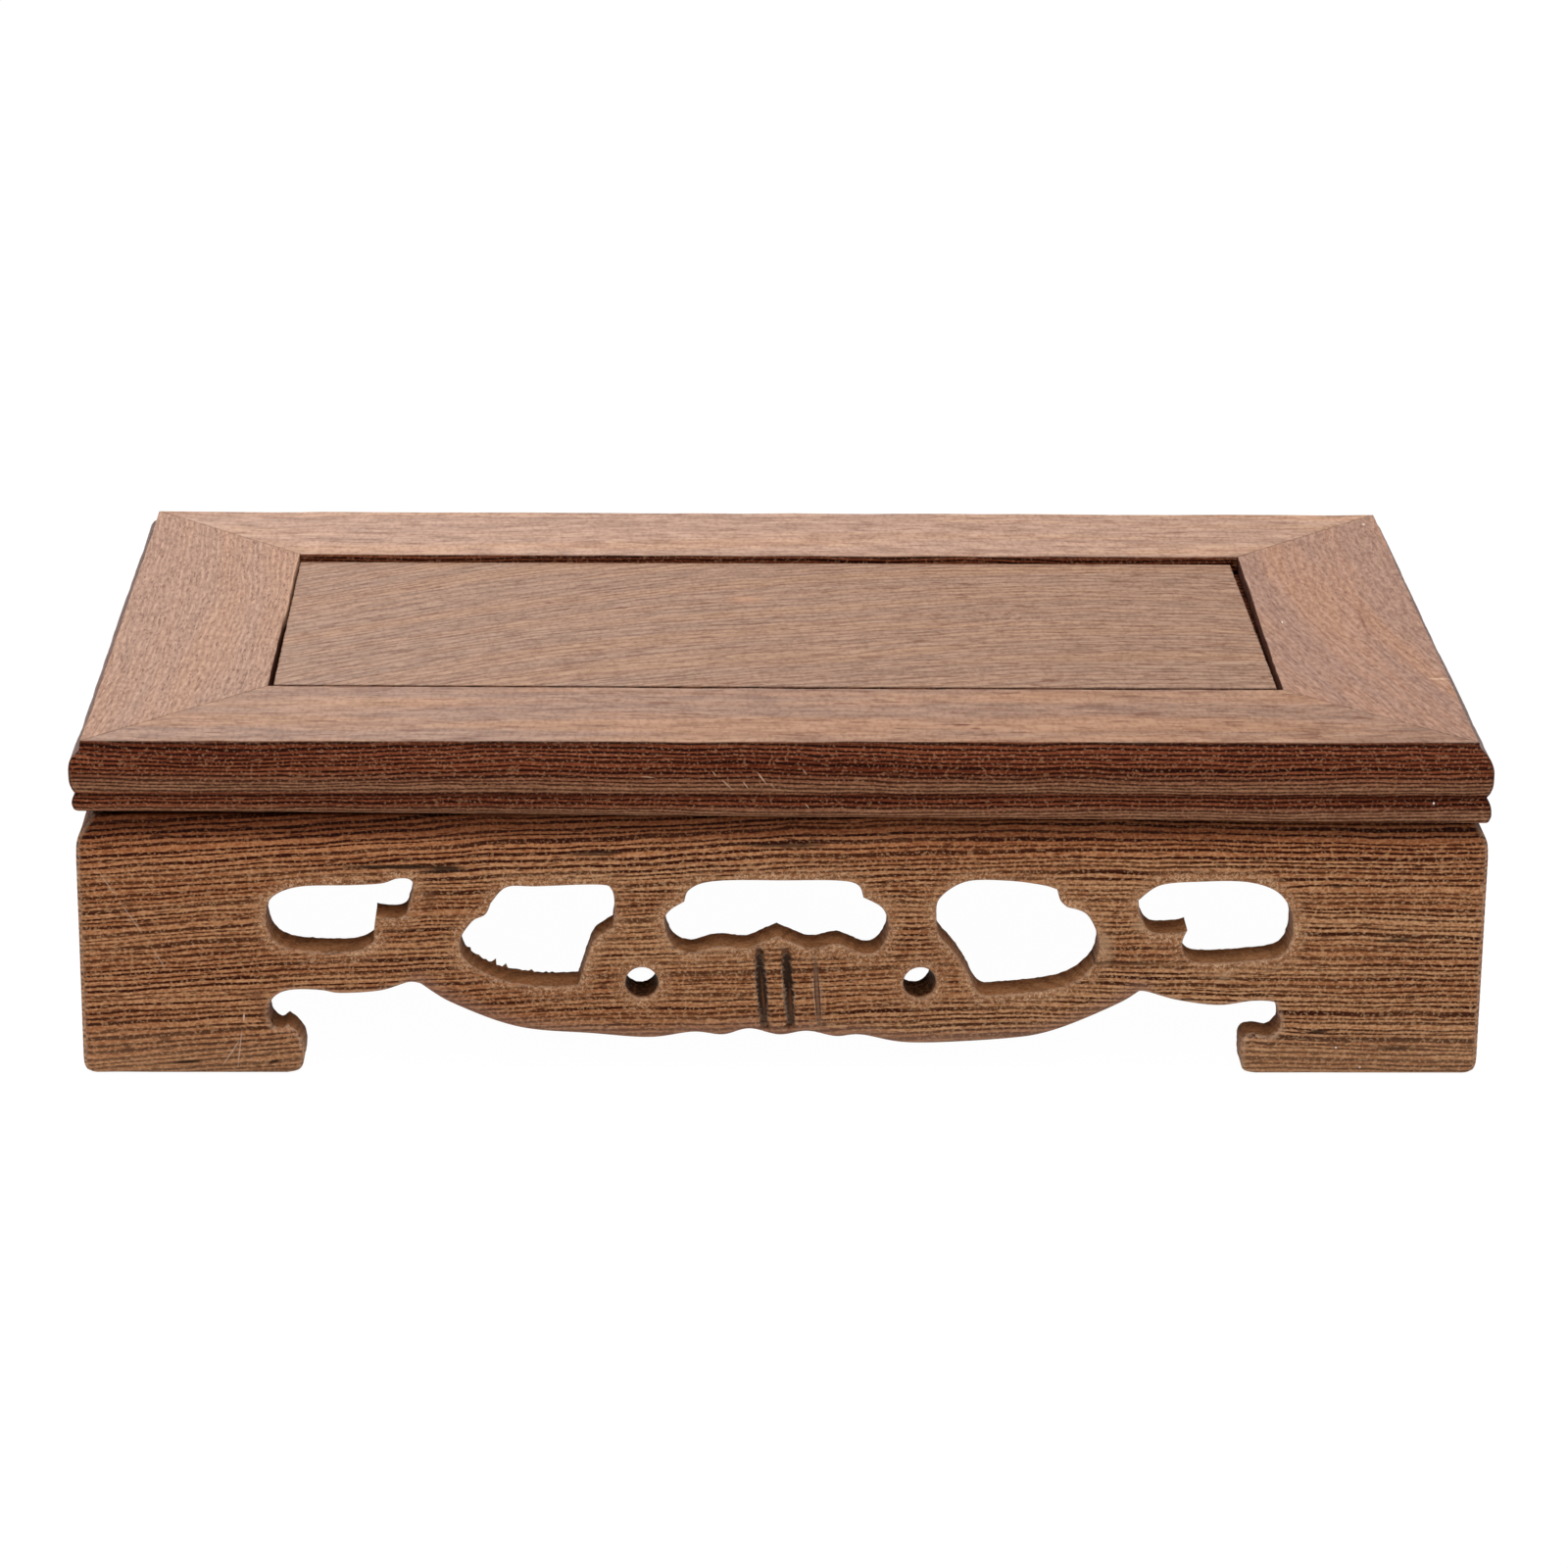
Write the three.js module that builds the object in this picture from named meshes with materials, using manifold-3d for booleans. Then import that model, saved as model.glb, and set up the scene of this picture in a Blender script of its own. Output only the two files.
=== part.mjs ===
// A small wooden display stand: a mitred frame with a floating panel, on a box of four
// fretted aprons whose corners run down into hooked feet. Millimetres, +Z up.
// The origin is on the floor, under the middle of the stand. +X runs along the stand, and
// its front looks along -Y.

import * as THREE from 'three';
import { mergeVertices } from 'three/addons/utils/BufferGeometryUtils.js';
import Module from 'manifold-3d';

const wasm = await Module();
wasm.setup();

// Whole stand, over the fullest line of the frame's moulded edge
const standLength = 150;
const standDepth = 90;
const standHeight = 37.5;

// Frame members
const frameThickness = 8.5;
const railWidth = 19.5;
const filletHeight = 1.0;
const mouldingDepth = 1.3;
const upperBeadHeight = 4.8;
const upperBeadBulge = 1.3;
const lowerBeadBulge = 0.95;
const beadFullness = 1.12;

// Corner joints of the frame: a tenon at each end of the long members, blind in the short ones
const tenonWidth = 8;
const tenonThickness = 2.2;
const tenonFromInnerEdge = 5;
const tenonFromUnderside = 1.4;
const tenonEndCover = 5;

// Floating panel, with a tongue all round that lies in a groove of the frame
const panelRecess = 0.8;
const panelThickness = 4.6;
const panelGap = 0.45;
const tongueThickness = 2.0;
const tongueDrop = 1.4;
const tongueLength = 3.0;
const grooveDepth = 3.5;

// Batten under the panel, dovetailed into it and let into the long members
const battenWidth = 12;
const battenTenonLength = 3;
const battenTenonThickness = 2.2;
const dovetailHeight = 1.4;
const dovetailThroat = 6;
const dovetailFlare = 0.7;

// Aprons
const boardThickness = 4.5;
const apronSetback = 0.4;
const topBevelIn = 1.8;
const topBevelDown = 2.4;
const arrisRadius = 1.0;

// Stand that the fretwork is drawn for: on another length or depth its widths stretch in step
const drawnLength = 150;
const drawnDepth = 90;

// Fretwork: openings hang from a band left along the top
const openingBand = 6.8;
const slotHangs = 4.3;
const leafHangs = 6.5;
const cloudHangs = 4.2;
const leftSlotFromMiddle = 46.8;
const rightSlotFromMiddle = 45.7;
const shortSlotFromMiddle = 24.9;
const leafFromMiddle = 25.5;
const drilledDiameter = 3.5;
const drilledFromMiddle = 14.8;
const drilledHeight = 10.6;
const longFootLeft = 23.6;
const longFootRight = 24.7;
const shortFoot = 15.5;

// Gouged lines under the middle opening of the long aprons, the third one finer. Each is cut
// deeper than half its width by the same factor.
const gougeWidths = [1.1, 1.1, 0.6];
const gougeDeepening = 1.9;
const gougeSpacing = 2.9;
const gougeOffset = 0.9;
const gougeTop = 14.6;
const gougeFoot = 5.3;
const gougeLean = 0.7;

// Corner blocks glued inside the box of aprons
const blockLeg = 9;
const blockHeight = 14;
const blockChamfer = 1;

// Bamboo pins between the aprons and the frame
const pinDiameter = 1.4;
const pinInApron = 4.7;
const pinInFrame = 3.7;
const longPinSpacing = 90;
const shortPinSpacing = 28;

// Clearance where one piece is cut to take another, and between two mitred faces
const jointGap = 0.3;

// Facets
const curveSteps = 2;
const beadSteps = 4;
const drilledSides = 16;
const pinSides = 12;
const cutMargin = 5;

// Sizes that follow from those above
const halfLength = standLength / 2;
const halfDepth = standDepth / 2;
const undersideZ = standHeight - frameThickness;
const panelTopZ = standHeight - panelRecess;
const panelBottomZ = panelTopZ - panelThickness;
const tongueTopZ = panelTopZ - tongueDrop;
const tongueBottomZ = tongueTopZ - tongueThickness;
const openingTopZ = undersideZ - openingBand;
const apronHalfLength = halfLength - apronSetback;
const apronHalfDepth = halfDepth - apronSetback;

const frameWood = { color: '#b58a70', roughness: 0.6, metalness: 0 };
const panelWood = { color: '#a57b60', roughness: 0.65, metalness: 0 };
const apronWood = { color: '#946443', roughness: 0.55, metalness: 0 };
const innerWood = { color: '#8d6347', roughness: 0.7, metalness: 0 };
const bamboo = { color: '#c9a873', roughness: 0.7, metalness: 0 };

// Fretted openings, each drawn about its own middle. Every run is one smooth curve, and runs
// meet at corners. They are sawn by hand, so the left and the right of a pair differ.
const leftSlot = [
  [[-7.6, 0], [-7, 2.4], [-4.4, 3.5], [1.2, 3.7], [4.4, 3.9], [5.9, 4.4], [7.2, 4.4], [7.7, 3.7],
    [7.3, 1.7], [6.7, 0.3], [5.4, 0], [3.7, 0.2]],
  [[3.7, 0.2], [3.5, -1.4], [3.5, -3.5]],
  [[3.5, -3.5], [1.7, -3.9], [-2.3, -3.9], [-5.6, -3.4], [-7.2, -2.2], [-7.6, 0]],
];
const rightSlot = [
  [[-8, 2.1], [-5.7, 3.8], [-1.5, 4.2], [3.3, 4.2], [6.6, 3.1], [8.2, 0.8], [8.4, -1.9], [7.3, -4.1],
    [3.6, -4.8], [-1.3, -5], [-2.8, -4.2], [-3.2, -2.7], [-2.7, -1.3]],
  [[-2.7, -1.3], [-4, -1.6], [-6.5, -1.5], [-7.6, 0.1], [-8, 2.1]],
];
const leftLeaf = [
  [[-5.4, 3.9], [-3.7, 5.7], [-0.5, 5.8], [6, 6], [7.4, 5.4], [7.7, 3.4], [7.5, 1.1]],
  [[7.5, 1.1], [5.6, -0.3], [4.8, -2.2], [3.8, -5.4]],
  [[3.8, -5.4], [-0.3, -5.5], [-5.1, -4.6], [-8.1, -2.6], [-8.7, -0.4], [-7.4, 1.8], [-6, 2.6],
    [-5.4, 3.9]],
];
const rightLeaf = [
  [[-9.1, 2.3], [-8.8, 4.5], [-6, 6.4], [-1.6, 6.5], [2.1, 6], [3.6, 5.5]],
  [[3.6, 5.5], [4, 4.2], [4.7, 3.5]],
  [[4.7, 3.5], [6.9, 2.6], [8.2, -0.6], [7.4, -3.4], [4.2, -5.6], [-2.4, -6.5], [-4.4, -6.2],
    [-5.9, -3.5], [-7.3, -1.4], [-8.8, 0.4], [-9.1, 2.3]],
];
const cloud = [
  [[-10.4, 1.8], [-9.8, 3.2], [-7.2, 4.1], [0, 4.2], [5.8, 4.2], [8, 3.7], [8.6, 2.3]],
  [[8.6, 2.3], [10.7, 1], [11.3, -1.4], [10.3, -3.6], [8.8, -4.1], [7.1, -3.4], [5.7, -3], [3.1, -3.5],
    [1.3, -2.8], [-0.2, -2.2]],
  [[-0.2, -2.2], [-1.9, -2.8], [-3.6, -3.5], [-6.9, -3.3], [-9.8, -3.9], [-11.7, -3], [-12.4, 0],
    [-11.6, 1.1], [-10.4, 1.8]],
];

// Inner end of a foot, from the floor up round its hook to the crest where the belly starts.
// The first number of each point is measured from the foot towards the middle of the apron.
const narrowHook = [
  [[-2.8, 0], [-0.8, 0.6], [-0.1, 2], [0, 3.4], [-0.5, 4.6], [-1.3, 5.6]],
  [[-1.3, 5.6], [-2.4, 5.1], [-3.4, 5.9], [-3.7, 7.3], [-3.1, 8.8], [-1.4, 9.6], [1.9, 9.6], [4, 9.3],
    [8.2, 9.6], [11.2, 10.5], [12.5, 10.3]],
];
const squareHook = [
  [[-2.2, 0], [-0.6, 0.6], [0, 2.2], [-0.1, 3.6], [-0.9, 4.2], [-2.6, 4], [-3.6, 4.3], [-3.9, 5.2],
    [-3.3, 7.9]],
  [[-3.3, 7.9], [-2.8, 8.5], [-1, 8.5], [2.6, 8], [6.6, 8.5], [10.4, 9.5], [11.3, 9.5]],
];

// Lower edge of an apron between its two crests: a shallow belly with scallops in its middle.
// The first number of each point runs from -1 at the left crest to 1 at the right one.
const longBelly = [
  [-0.912, 8], [-0.73, 5.3], [-0.52, 4.5], [-0.364, 4.1], [-0.245, 4.7], [-0.162, 4.4],
  [-0.089, 5.1], [-0.006, 4.4], [0.071, 4.8], [0.152, 4.2], [0.222, 4.4], [0.359, 3.5],
  [0.608, 3.9], [0.754, 4.9], [0.927, 7.9],
];
const shortBelly = [
  [-0.843, 8.3], [-0.566, 5.8], [-0.373, 4.8], [-0.193, 5.2], [0, 4.5], [0.193, 5.2],
  [0.373, 4.8], [0.566, 5.8], [0.843, 8.3],
];

// A closed geometry as a solid that can be joined and cut
function solidOf(geometry) {
  const bare = geometry.clone();
  bare.deleteAttribute('normal');
  bare.deleteAttribute('uv');
  const merged = mergeVertices(bare, 1e-5);
  return new wasm.Manifold(new wasm.Mesh({
    numProp: 3,
    vertProperties: new Float32Array(merged.attributes.position.array),
    triVerts: new Uint32Array(merged.index.array),
  }));
}

function geometryOf(solid) {
  const { vertProperties, triVerts } = solid.getMesh();
  const geometry = new THREE.BufferGeometry();
  geometry.setAttribute('position', new THREE.BufferAttribute(new Float32Array(vertProperties), 3));
  geometry.setIndex(new THREE.BufferAttribute(new Uint32Array(triVerts), 1));
  geometry.computeVertexNormals();
  return geometry;
}

// Box between two corners
function block(low, high) {
  const size = high.map((value, axis) => value - low[axis]);
  const middle = high.map((value, axis) => (value + low[axis]) / 2);
  return solidOf(new THREE.BoxGeometry(...size).translate(...middle));
}

// Section drawn in Y and Z, carried along X over the middle of the stand
function alongX(section, length, steps = 1) {
  const options = { depth: length, bevelEnabled: false, curveSegments: steps };
  const bar = new THREE.ExtrudeGeometry(section, options);
  const turn = new THREE.Matrix4().makeBasis(
    new THREE.Vector3(0, 1, 0), new THREE.Vector3(0, 0, 1), new THREE.Vector3(1, 0, 0));
  return solidOf(bar.applyMatrix4(turn).translate(-length / 2, 0, 0));
}

// Outline drawn in X and Z, sawn through a board whose outer face lies at y
function sawnBoard(outline, y) {
  const options = { depth: boardThickness, bevelEnabled: false, curveSegments: curveSteps };
  const board = new THREE.ExtrudeGeometry(outline, options);
  const turn = new THREE.Matrix4().makeBasis(
    new THREE.Vector3(1, 0, 0), new THREE.Vector3(0, 0, 1), new THREE.Vector3(0, -1, 0));
  return solidOf(board.applyMatrix4(turn).translate(0, y + boardThickness, 0));
}

// Plan drawn in X and Y, raised from lowZ to highZ
function raised(plan, lowZ, highZ) {
  const options = { depth: highZ - lowZ, bevelEnabled: false, curveSegments: curveSteps };
  return solidOf(new THREE.ExtrudeGeometry(plan, options).translate(0, 0, lowZ));
}

// Room for one side of the stand, whose corners are all mitred at 45 degrees
function mitredSpace(halfAlong, halfAcross) {
  const setBack = jointGap * Math.SQRT1_2;
  const reach = Math.min(halfAlong, halfAcross) - cutMargin;
  const outer = halfAlong + cutMargin - setBack;
  const inner = halfAlong - reach - setBack;
  const plan = new THREE.Shape([
    new THREE.Vector2(-outer, -halfAcross - cutMargin),
    new THREE.Vector2(outer, -halfAcross - cutMargin),
    new THREE.Vector2(inner, -halfAcross + reach),
    new THREE.Vector2(-inner, -halfAcross + reach),
  ]);
  return raised(plan, -cutMargin, standHeight + cutMargin);
}

// Half-round bead between two heights, bulging outwards from rootY
function addBead(section, rootY, bulge, topZ, bottomZ) {
  const middleZ = (topZ + bottomZ) / 2;
  const halfHeight = beadFullness * (topZ - bottomZ) / 2;
  const clip = Math.asin(1 / beadFullness);
  section.absellipse(rootY, middleZ, bulge, halfHeight, Math.PI - clip, Math.PI + clip, false);
}

// Frame member with its outer edge towards -Y: a fillet, two beads and the panel groove
function railSection(halfAcross) {
  const rootY = -halfAcross + mouldingDepth;
  const innerY = -halfAcross + railWidth;
  const grooveY = innerY - grooveDepth;
  const beadTopZ = standHeight - filletHeight;
  const quirkZ = beadTopZ - upperBeadHeight;
  const section = new THREE.Shape();
  section.moveTo(innerY, standHeight);
  section.lineTo(rootY, standHeight);
  section.lineTo(rootY, beadTopZ);
  addBead(section, rootY, upperBeadBulge, beadTopZ, quirkZ);
  addBead(section, rootY, lowerBeadBulge, quirkZ, undersideZ);
  section.lineTo(innerY, undersideZ);
  section.lineTo(innerY, tongueBottomZ - jointGap);
  section.lineTo(grooveY, tongueBottomZ - jointGap);
  section.lineTo(grooveY, tongueTopZ + jointGap);
  section.lineTo(innerY, tongueTopZ + jointGap);
  section.closePath();
  return section;
}

function railBlank(halfAlong, halfAcross) {
  const bar = alongX(railSection(halfAcross), 2 * halfAlong, beadSteps);
  return bar.intersect(mitredSpace(halfAlong, halfAcross));
}

// Upright round bars at both pin places of one side
function pinBars(halfAcross, spacing, diameter, lowZ, highZ) {
  const y = -halfAcross + apronSetback + (topBevelIn + boardThickness) / 2;
  return [-spacing / 2, spacing / 2].map((x) => {
    const bar = new THREE.CylinderGeometry(diameter / 2, diameter / 2, highZ - lowZ, pinSides);
    return bar.rotateX(Math.PI / 2).translate(x, y, (lowZ + highZ) / 2);
  });
}

function boredForPins(solid, halfAcross, spacing, lowZ, highZ) {
  const bores = pinBars(halfAcross, spacing, pinDiameter + 2 * jointGap, lowZ, highZ);
  return bores.reduce((rest, bore) => rest.subtract(solidOf(bore)), solid);
}

// Long member: a tenon beyond each mitre, and a housing underneath for the batten
function longRail() {
  const innerY = -halfDepth + railWidth;
  const tipX = halfLength - tenonEndCover;
  const rootX = halfLength - railWidth - tenonFromInnerEdge;
  const tenonY = innerY - tenonFromInnerEdge;
  const tenonZ = undersideZ + tenonFromUnderside;
  const housingX = battenWidth / 2 + jointGap;
  const housing = block(
    [-housingX, innerY - battenTenonLength, undersideZ - cutMargin],
    [housingX, innerY + cutMargin, undersideZ + battenTenonThickness + jointGap]);
  const rail = railBlank(halfLength, halfDepth)
    .add(block([-tipX, tenonY - tenonWidth, tenonZ], [-rootX, tenonY, tenonZ + tenonThickness]))
    .add(block([rootX, tenonY - tenonWidth, tenonZ], [tipX, tenonY, tenonZ + tenonThickness]))
    .subtract(housing);
  return boredForPins(
    rail, halfDepth, longPinSpacing, undersideZ - cutMargin, undersideZ + pinInFrame + jointGap);
}

// Short member, drawn along X: a blind mortise at each end, open at the mitre
function shortRail() {
  const innerX = halfDepth - railWidth + tenonFromInnerEdge - jointGap;
  const outerX = innerX + tenonWidth + 2 * jointGap;
  const tipY = -halfLength + tenonEndCover - jointGap;
  const openY = -halfLength + railWidth;
  const lowZ = undersideZ + tenonFromUnderside - jointGap;
  const highZ = lowZ + tenonThickness + 2 * jointGap;
  const rail = railBlank(halfDepth, halfLength)
    .subtract(block([innerX, tipY, lowZ], [outerX, openY, highZ]))
    .subtract(block([-outerX, tipY, lowZ], [-innerX, openY, highZ]));
  return boredForPins(
    rail, halfLength, shortPinSpacing, undersideZ - cutMargin, undersideZ + pinInFrame + jointGap);
}

// Dovetail along Y, wider at its top, which starts at the underside of the panel
function dovetail(clearance, length) {
  const throat = dovetailThroat / 2 + clearance;
  const topZ = panelBottomZ + dovetailHeight + clearance;
  const section = new THREE.Shape([
    new THREE.Vector2(-throat, panelBottomZ - clearance),
    new THREE.Vector2(throat, panelBottomZ - clearance),
    new THREE.Vector2(throat + dovetailFlare, topZ),
    new THREE.Vector2(-throat - dovetailFlare, topZ),
  ]);
  return alongX(section, length).rotate([0, 0, 90]);
}

function centrePanel() {
  const openX = halfLength - railWidth;
  const openY = halfDepth - railWidth;
  const fieldX = openX - panelGap;
  const fieldY = openY - panelGap;
  const tongueX = openX + tongueLength;
  const tongueY = openY + tongueLength;
  return block([-fieldX, -fieldY, panelBottomZ], [fieldX, fieldY, panelTopZ])
    .add(block([-tongueX, -tongueY, tongueBottomZ], [tongueX, tongueY, tongueTopZ]))
    .subtract(dovetail(jointGap, 2 * (tongueY + cutMargin)));
}

function panelBatten() {
  const shoulderY = halfDepth - railWidth - jointGap;
  const tipY = shoulderY + battenTenonLength;
  const x = battenWidth / 2;
  return block([-x, -shoulderY, undersideZ], [x, shoulderY, panelBottomZ])
    .add(block([-x, -tipY, undersideZ], [x, tipY, undersideZ + battenTenonThickness]))
    .add(dovetail(0, 2 * (shoulderY - panelGap)));
}

// Adds runs of points to a path, widened by stretch and moved to x and z. A negative stretch
// turns them over left to right.
function traceRuns(path, runs, x, z, stretch) {
  const placed = runs.map((run) => run.map(([u, w]) => new THREE.Vector2(x + stretch * u, z + w)));
  const start = placed[0][0];
  if (path.curves.length === 0) {
    path.moveTo(start.x, start.y);
  } else {
    path.lineTo(start.x, start.y);
  }
  placed.forEach((run) => path.splineThru(run.slice(1)));
}

function opening(runs, fromMiddle, hangs, stretch) {
  const path = new THREE.Path();
  traceRuns(path, runs, stretch * fromMiddle, openingTopZ - hangs, stretch);
  return path;
}

function drilled(x) {
  const round = new THREE.EllipseCurve(x, drilledHeight, drilledDiameter / 2, drilledDiameter / 2);
  return new THREE.Path(round.getPoints(drilledSides).slice(0, -1));
}

// Outer outline of an apron from -half to half: both feet with their hooks, and the belly
function apronOutline(half, stretch, leftHook, leftFoot, rightHook, rightFoot, belly) {
  const leftX = stretch * leftFoot - half;
  const rightX = half - stretch * rightFoot;
  const [leftCrestIn] = leftHook.at(-1).at(-1);
  const [rightCrestIn, rightCrestZ] = rightHook.at(-1).at(-1);
  const leftCrestX = leftX + stretch * leftCrestIn;
  const rightCrestX = rightX - stretch * rightCrestIn;
  const middleX = (rightCrestX + leftCrestX) / 2;
  const reach = (rightCrestX - leftCrestX) / 2;
  const bellyPoints = [...belly, [1, rightCrestZ]];
  const downwards = rightHook.map((run) => run.toReversed()).toReversed();
  const outline = new THREE.Shape();
  outline.moveTo(-half, undersideZ);
  outline.lineTo(-half, 0);
  traceRuns(outline, leftHook, leftX, 0, stretch);
  outline.splineThru(bellyPoints.map(([share, z]) => new THREE.Vector2(middleX + share * reach, z)));
  traceRuns(outline, downwards, rightX, 0, -stretch);
  outline.lineTo(half, 0);
  outline.lineTo(half, undersideZ);
  outline.closePath();
  return outline;
}

// Plan of the whole box of aprons, its four upright arrises eased
function boxPlan(halfAlong, halfAcross) {
  const x = halfAlong - apronSetback - arrisRadius;
  const y = halfAcross - apronSetback - arrisRadius;
  const plan = new THREE.Shape();
  plan.absarc(-x, -y, arrisRadius, Math.PI, 1.5 * Math.PI, false);
  plan.absarc(x, -y, arrisRadius, -0.5 * Math.PI, 0, false);
  plan.absarc(x, y, arrisRadius, 0, 0.5 * Math.PI, false);
  plan.absarc(-x, y, arrisRadius, 0.5 * Math.PI, Math.PI, false);
  return plan;
}

// Apron with its outer face towards -Y: mitred ends, bevelled top edge and pin holes
function apron(outline, halfAlong, halfAcross, pinSpacing) {
  const outerY = -halfAcross + apronSetback;
  const bevel = new THREE.Shape([
    new THREE.Vector2(outerY - topBevelIn, undersideZ + topBevelDown),
    new THREE.Vector2(outerY - topBevelIn, undersideZ - 2 * topBevelDown),
    new THREE.Vector2(outerY + 2 * topBevelIn, undersideZ + topBevelDown),
  ]);
  const board = sawnBoard(outline, outerY)
    .intersect(raised(boxPlan(halfAlong, halfAcross), -cutMargin, standHeight))
    .intersect(mitredSpace(halfAlong, halfAcross))
    .subtract(alongX(bevel, 2 * halfAlong));
  return boredForPins(
    board, halfAcross, pinSpacing, undersideZ - pinInApron - jointGap, undersideZ + cutMargin);
}

// Round-ended line cut with a gouge into the outer face, leaning as it goes down
function gougeCut(width, index) {
  const length = gougeTop - gougeFoot;
  const x = gougeOffset + (index - 1) * gougeSpacing;
  const cutter = new THREE.CapsuleGeometry(width / 2, length - width, 3, 8);
  cutter.scale(1, 1, gougeDeepening);
  cutter.rotateX(Math.PI / 2);
  cutter.rotateY(-Math.atan(gougeLean / length));
  cutter.translate(x, -halfDepth + apronSetback, (gougeTop + gougeFoot) / 2);
  return solidOf(cutter);
}

function longApron() {
  const stretch = standLength / drawnLength;
  const outline = apronOutline(
    apronHalfLength, stretch, narrowHook, longFootLeft, squareHook, longFootRight, longBelly);
  outline.holes.push(
    opening(leftSlot, -leftSlotFromMiddle, slotHangs, stretch),
    opening(rightSlot, rightSlotFromMiddle, slotHangs, stretch),
    opening(leftLeaf, -leafFromMiddle, leafHangs, stretch),
    opening(rightLeaf, leafFromMiddle, leafHangs, stretch),
    opening(cloud, 0, cloudHangs, stretch),
    drilled(-stretch * drilledFromMiddle),
    drilled(stretch * drilledFromMiddle));
  const board = apron(outline, halfLength, halfDepth, longPinSpacing);
  return gougeWidths.reduce((rest, width, index) => rest.subtract(gougeCut(width, index)), board);
}

// Both slots of a short apron are the left one, turned over for the right
function shortApron() {
  const stretch = standDepth / drawnDepth;
  const outline = apronOutline(
    apronHalfDepth, stretch, narrowHook, shortFoot, narrowHook, shortFoot, shortBelly);
  outline.holes.push(
    opening(leftSlot, -shortSlotFromMiddle, slotHangs, stretch),
    opening(leftSlot, -shortSlotFromMiddle, slotHangs, -stretch),
    opening(cloud, 0, cloudHangs, stretch));
  return apron(outline, halfDepth, halfLength, shortPinSpacing);
}

// Triangular block that fills an inner corner of the apron box, drawn for the front left one
function cornerBlock() {
  const plan = new THREE.Shape([
    new THREE.Vector2(blockChamfer, 0),
    new THREE.Vector2(blockLeg, 0),
    new THREE.Vector2(0, blockLeg),
    new THREE.Vector2(0, blockChamfer),
  ]);
  return raised(plan, undersideZ - blockHeight, undersideZ);
}

function piece(name, geometry, finish) {
  const mesh = new THREE.Mesh(geometry, new THREE.MeshStandardMaterial(finish));
  mesh.name = name;
  return mesh;
}

// One side of the stand: frame member, apron and the pins between them
function addSide(stand, side, turn, halfAcross, rail, board, pinSpacing) {
  const group = new THREE.Group();
  group.rotation.z = turn;
  group.add(piece(`${side}_rail`, rail, frameWood));
  group.add(piece(`${side}_apron`, board, apronWood));
  const pins = pinBars(
    halfAcross, pinSpacing, pinDiameter, undersideZ - pinInApron, undersideZ + pinInFrame);
  pins.forEach((pin, index) => group.add(piece(`${side}_pin_${index + 1}`, pin, bamboo)));
  stand.add(group);
}

const stand = new THREE.Group();
const longRailGeometry = geometryOf(longRail());
const shortRailGeometry = geometryOf(shortRail());
const longApronGeometry = geometryOf(longApron());
const shortApronGeometry = geometryOf(shortApron());
addSide(stand, 'front', 0, halfDepth, longRailGeometry, longApronGeometry, longPinSpacing);
addSide(stand, 'right', Math.PI / 2, halfLength, shortRailGeometry, shortApronGeometry, shortPinSpacing);
addSide(stand, 'back', Math.PI, halfDepth, longRailGeometry, longApronGeometry, longPinSpacing);
addSide(stand, 'left', -Math.PI / 2, halfLength, shortRailGeometry, shortApronGeometry, shortPinSpacing);

stand.add(piece('centre_panel', geometryOf(centrePanel()), panelWood));
stand.add(piece('panel_batten', geometryOf(panelBatten()), innerWood));

const blockGeometry = geometryOf(cornerBlock());
const blockPlaces = [
  ['front_left', -1, -1, 0],
  ['front_right', 1, -1, Math.PI / 2],
  ['back_right', 1, 1, Math.PI],
  ['back_left', -1, 1, -Math.PI / 2],
];
for (const [place, sideX, sideY, turn] of blockPlaces) {
  const corner = piece(`corner_block_${place}`, blockGeometry, innerWood);
  corner.position.set(
    sideX * (apronHalfLength - boardThickness), sideY * (apronHalfDepth - boardThickness), 0);
  corner.rotation.z = turn;
  stand.add(corner);
}

export default stand;
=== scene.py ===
"""Wooden display stand: sawn aprons, moulded frame, floating panel, their wood and the stage."""

import math
from types import SimpleNamespace

import bpy
import numpy as np
from bpy.props import FloatProperty, FloatVectorProperty, PointerProperty
from mathutils import Matrix, Vector
from mathutils.geometry import delaunay_2d_cdt


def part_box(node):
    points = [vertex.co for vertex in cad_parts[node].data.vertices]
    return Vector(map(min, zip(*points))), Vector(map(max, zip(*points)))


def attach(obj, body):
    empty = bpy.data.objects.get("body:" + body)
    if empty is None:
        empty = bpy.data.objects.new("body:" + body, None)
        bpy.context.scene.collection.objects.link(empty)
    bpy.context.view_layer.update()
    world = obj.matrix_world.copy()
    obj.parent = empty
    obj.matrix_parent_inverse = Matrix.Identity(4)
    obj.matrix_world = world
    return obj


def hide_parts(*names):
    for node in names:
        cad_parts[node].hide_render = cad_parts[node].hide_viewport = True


bl_info = {
    "name": "Wooden Display Stand",
    "version": (1, 0, 0),
    "blender": (4, 5, 0),
    "location": "3D View > Sidebar > Stand",
    "description": "Builds the wood pieces, finishes and stage of a small fretted display stand",
    "category": "Object",
}

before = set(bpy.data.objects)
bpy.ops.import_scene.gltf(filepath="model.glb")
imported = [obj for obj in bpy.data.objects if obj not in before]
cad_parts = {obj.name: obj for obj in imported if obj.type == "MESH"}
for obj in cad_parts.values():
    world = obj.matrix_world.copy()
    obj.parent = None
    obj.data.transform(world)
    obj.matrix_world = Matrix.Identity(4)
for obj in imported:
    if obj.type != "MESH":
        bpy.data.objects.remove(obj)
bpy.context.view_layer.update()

MM = 0.001


def node_box(*names):
    """Lowest and highest corner, in millimetres, over the named nodes of the frame."""
    corners = np.array([[tuple(c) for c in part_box(name)] for name in names]) / MM
    return corners[:, 0].min(0), corners[:, 1].max(0)


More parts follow.
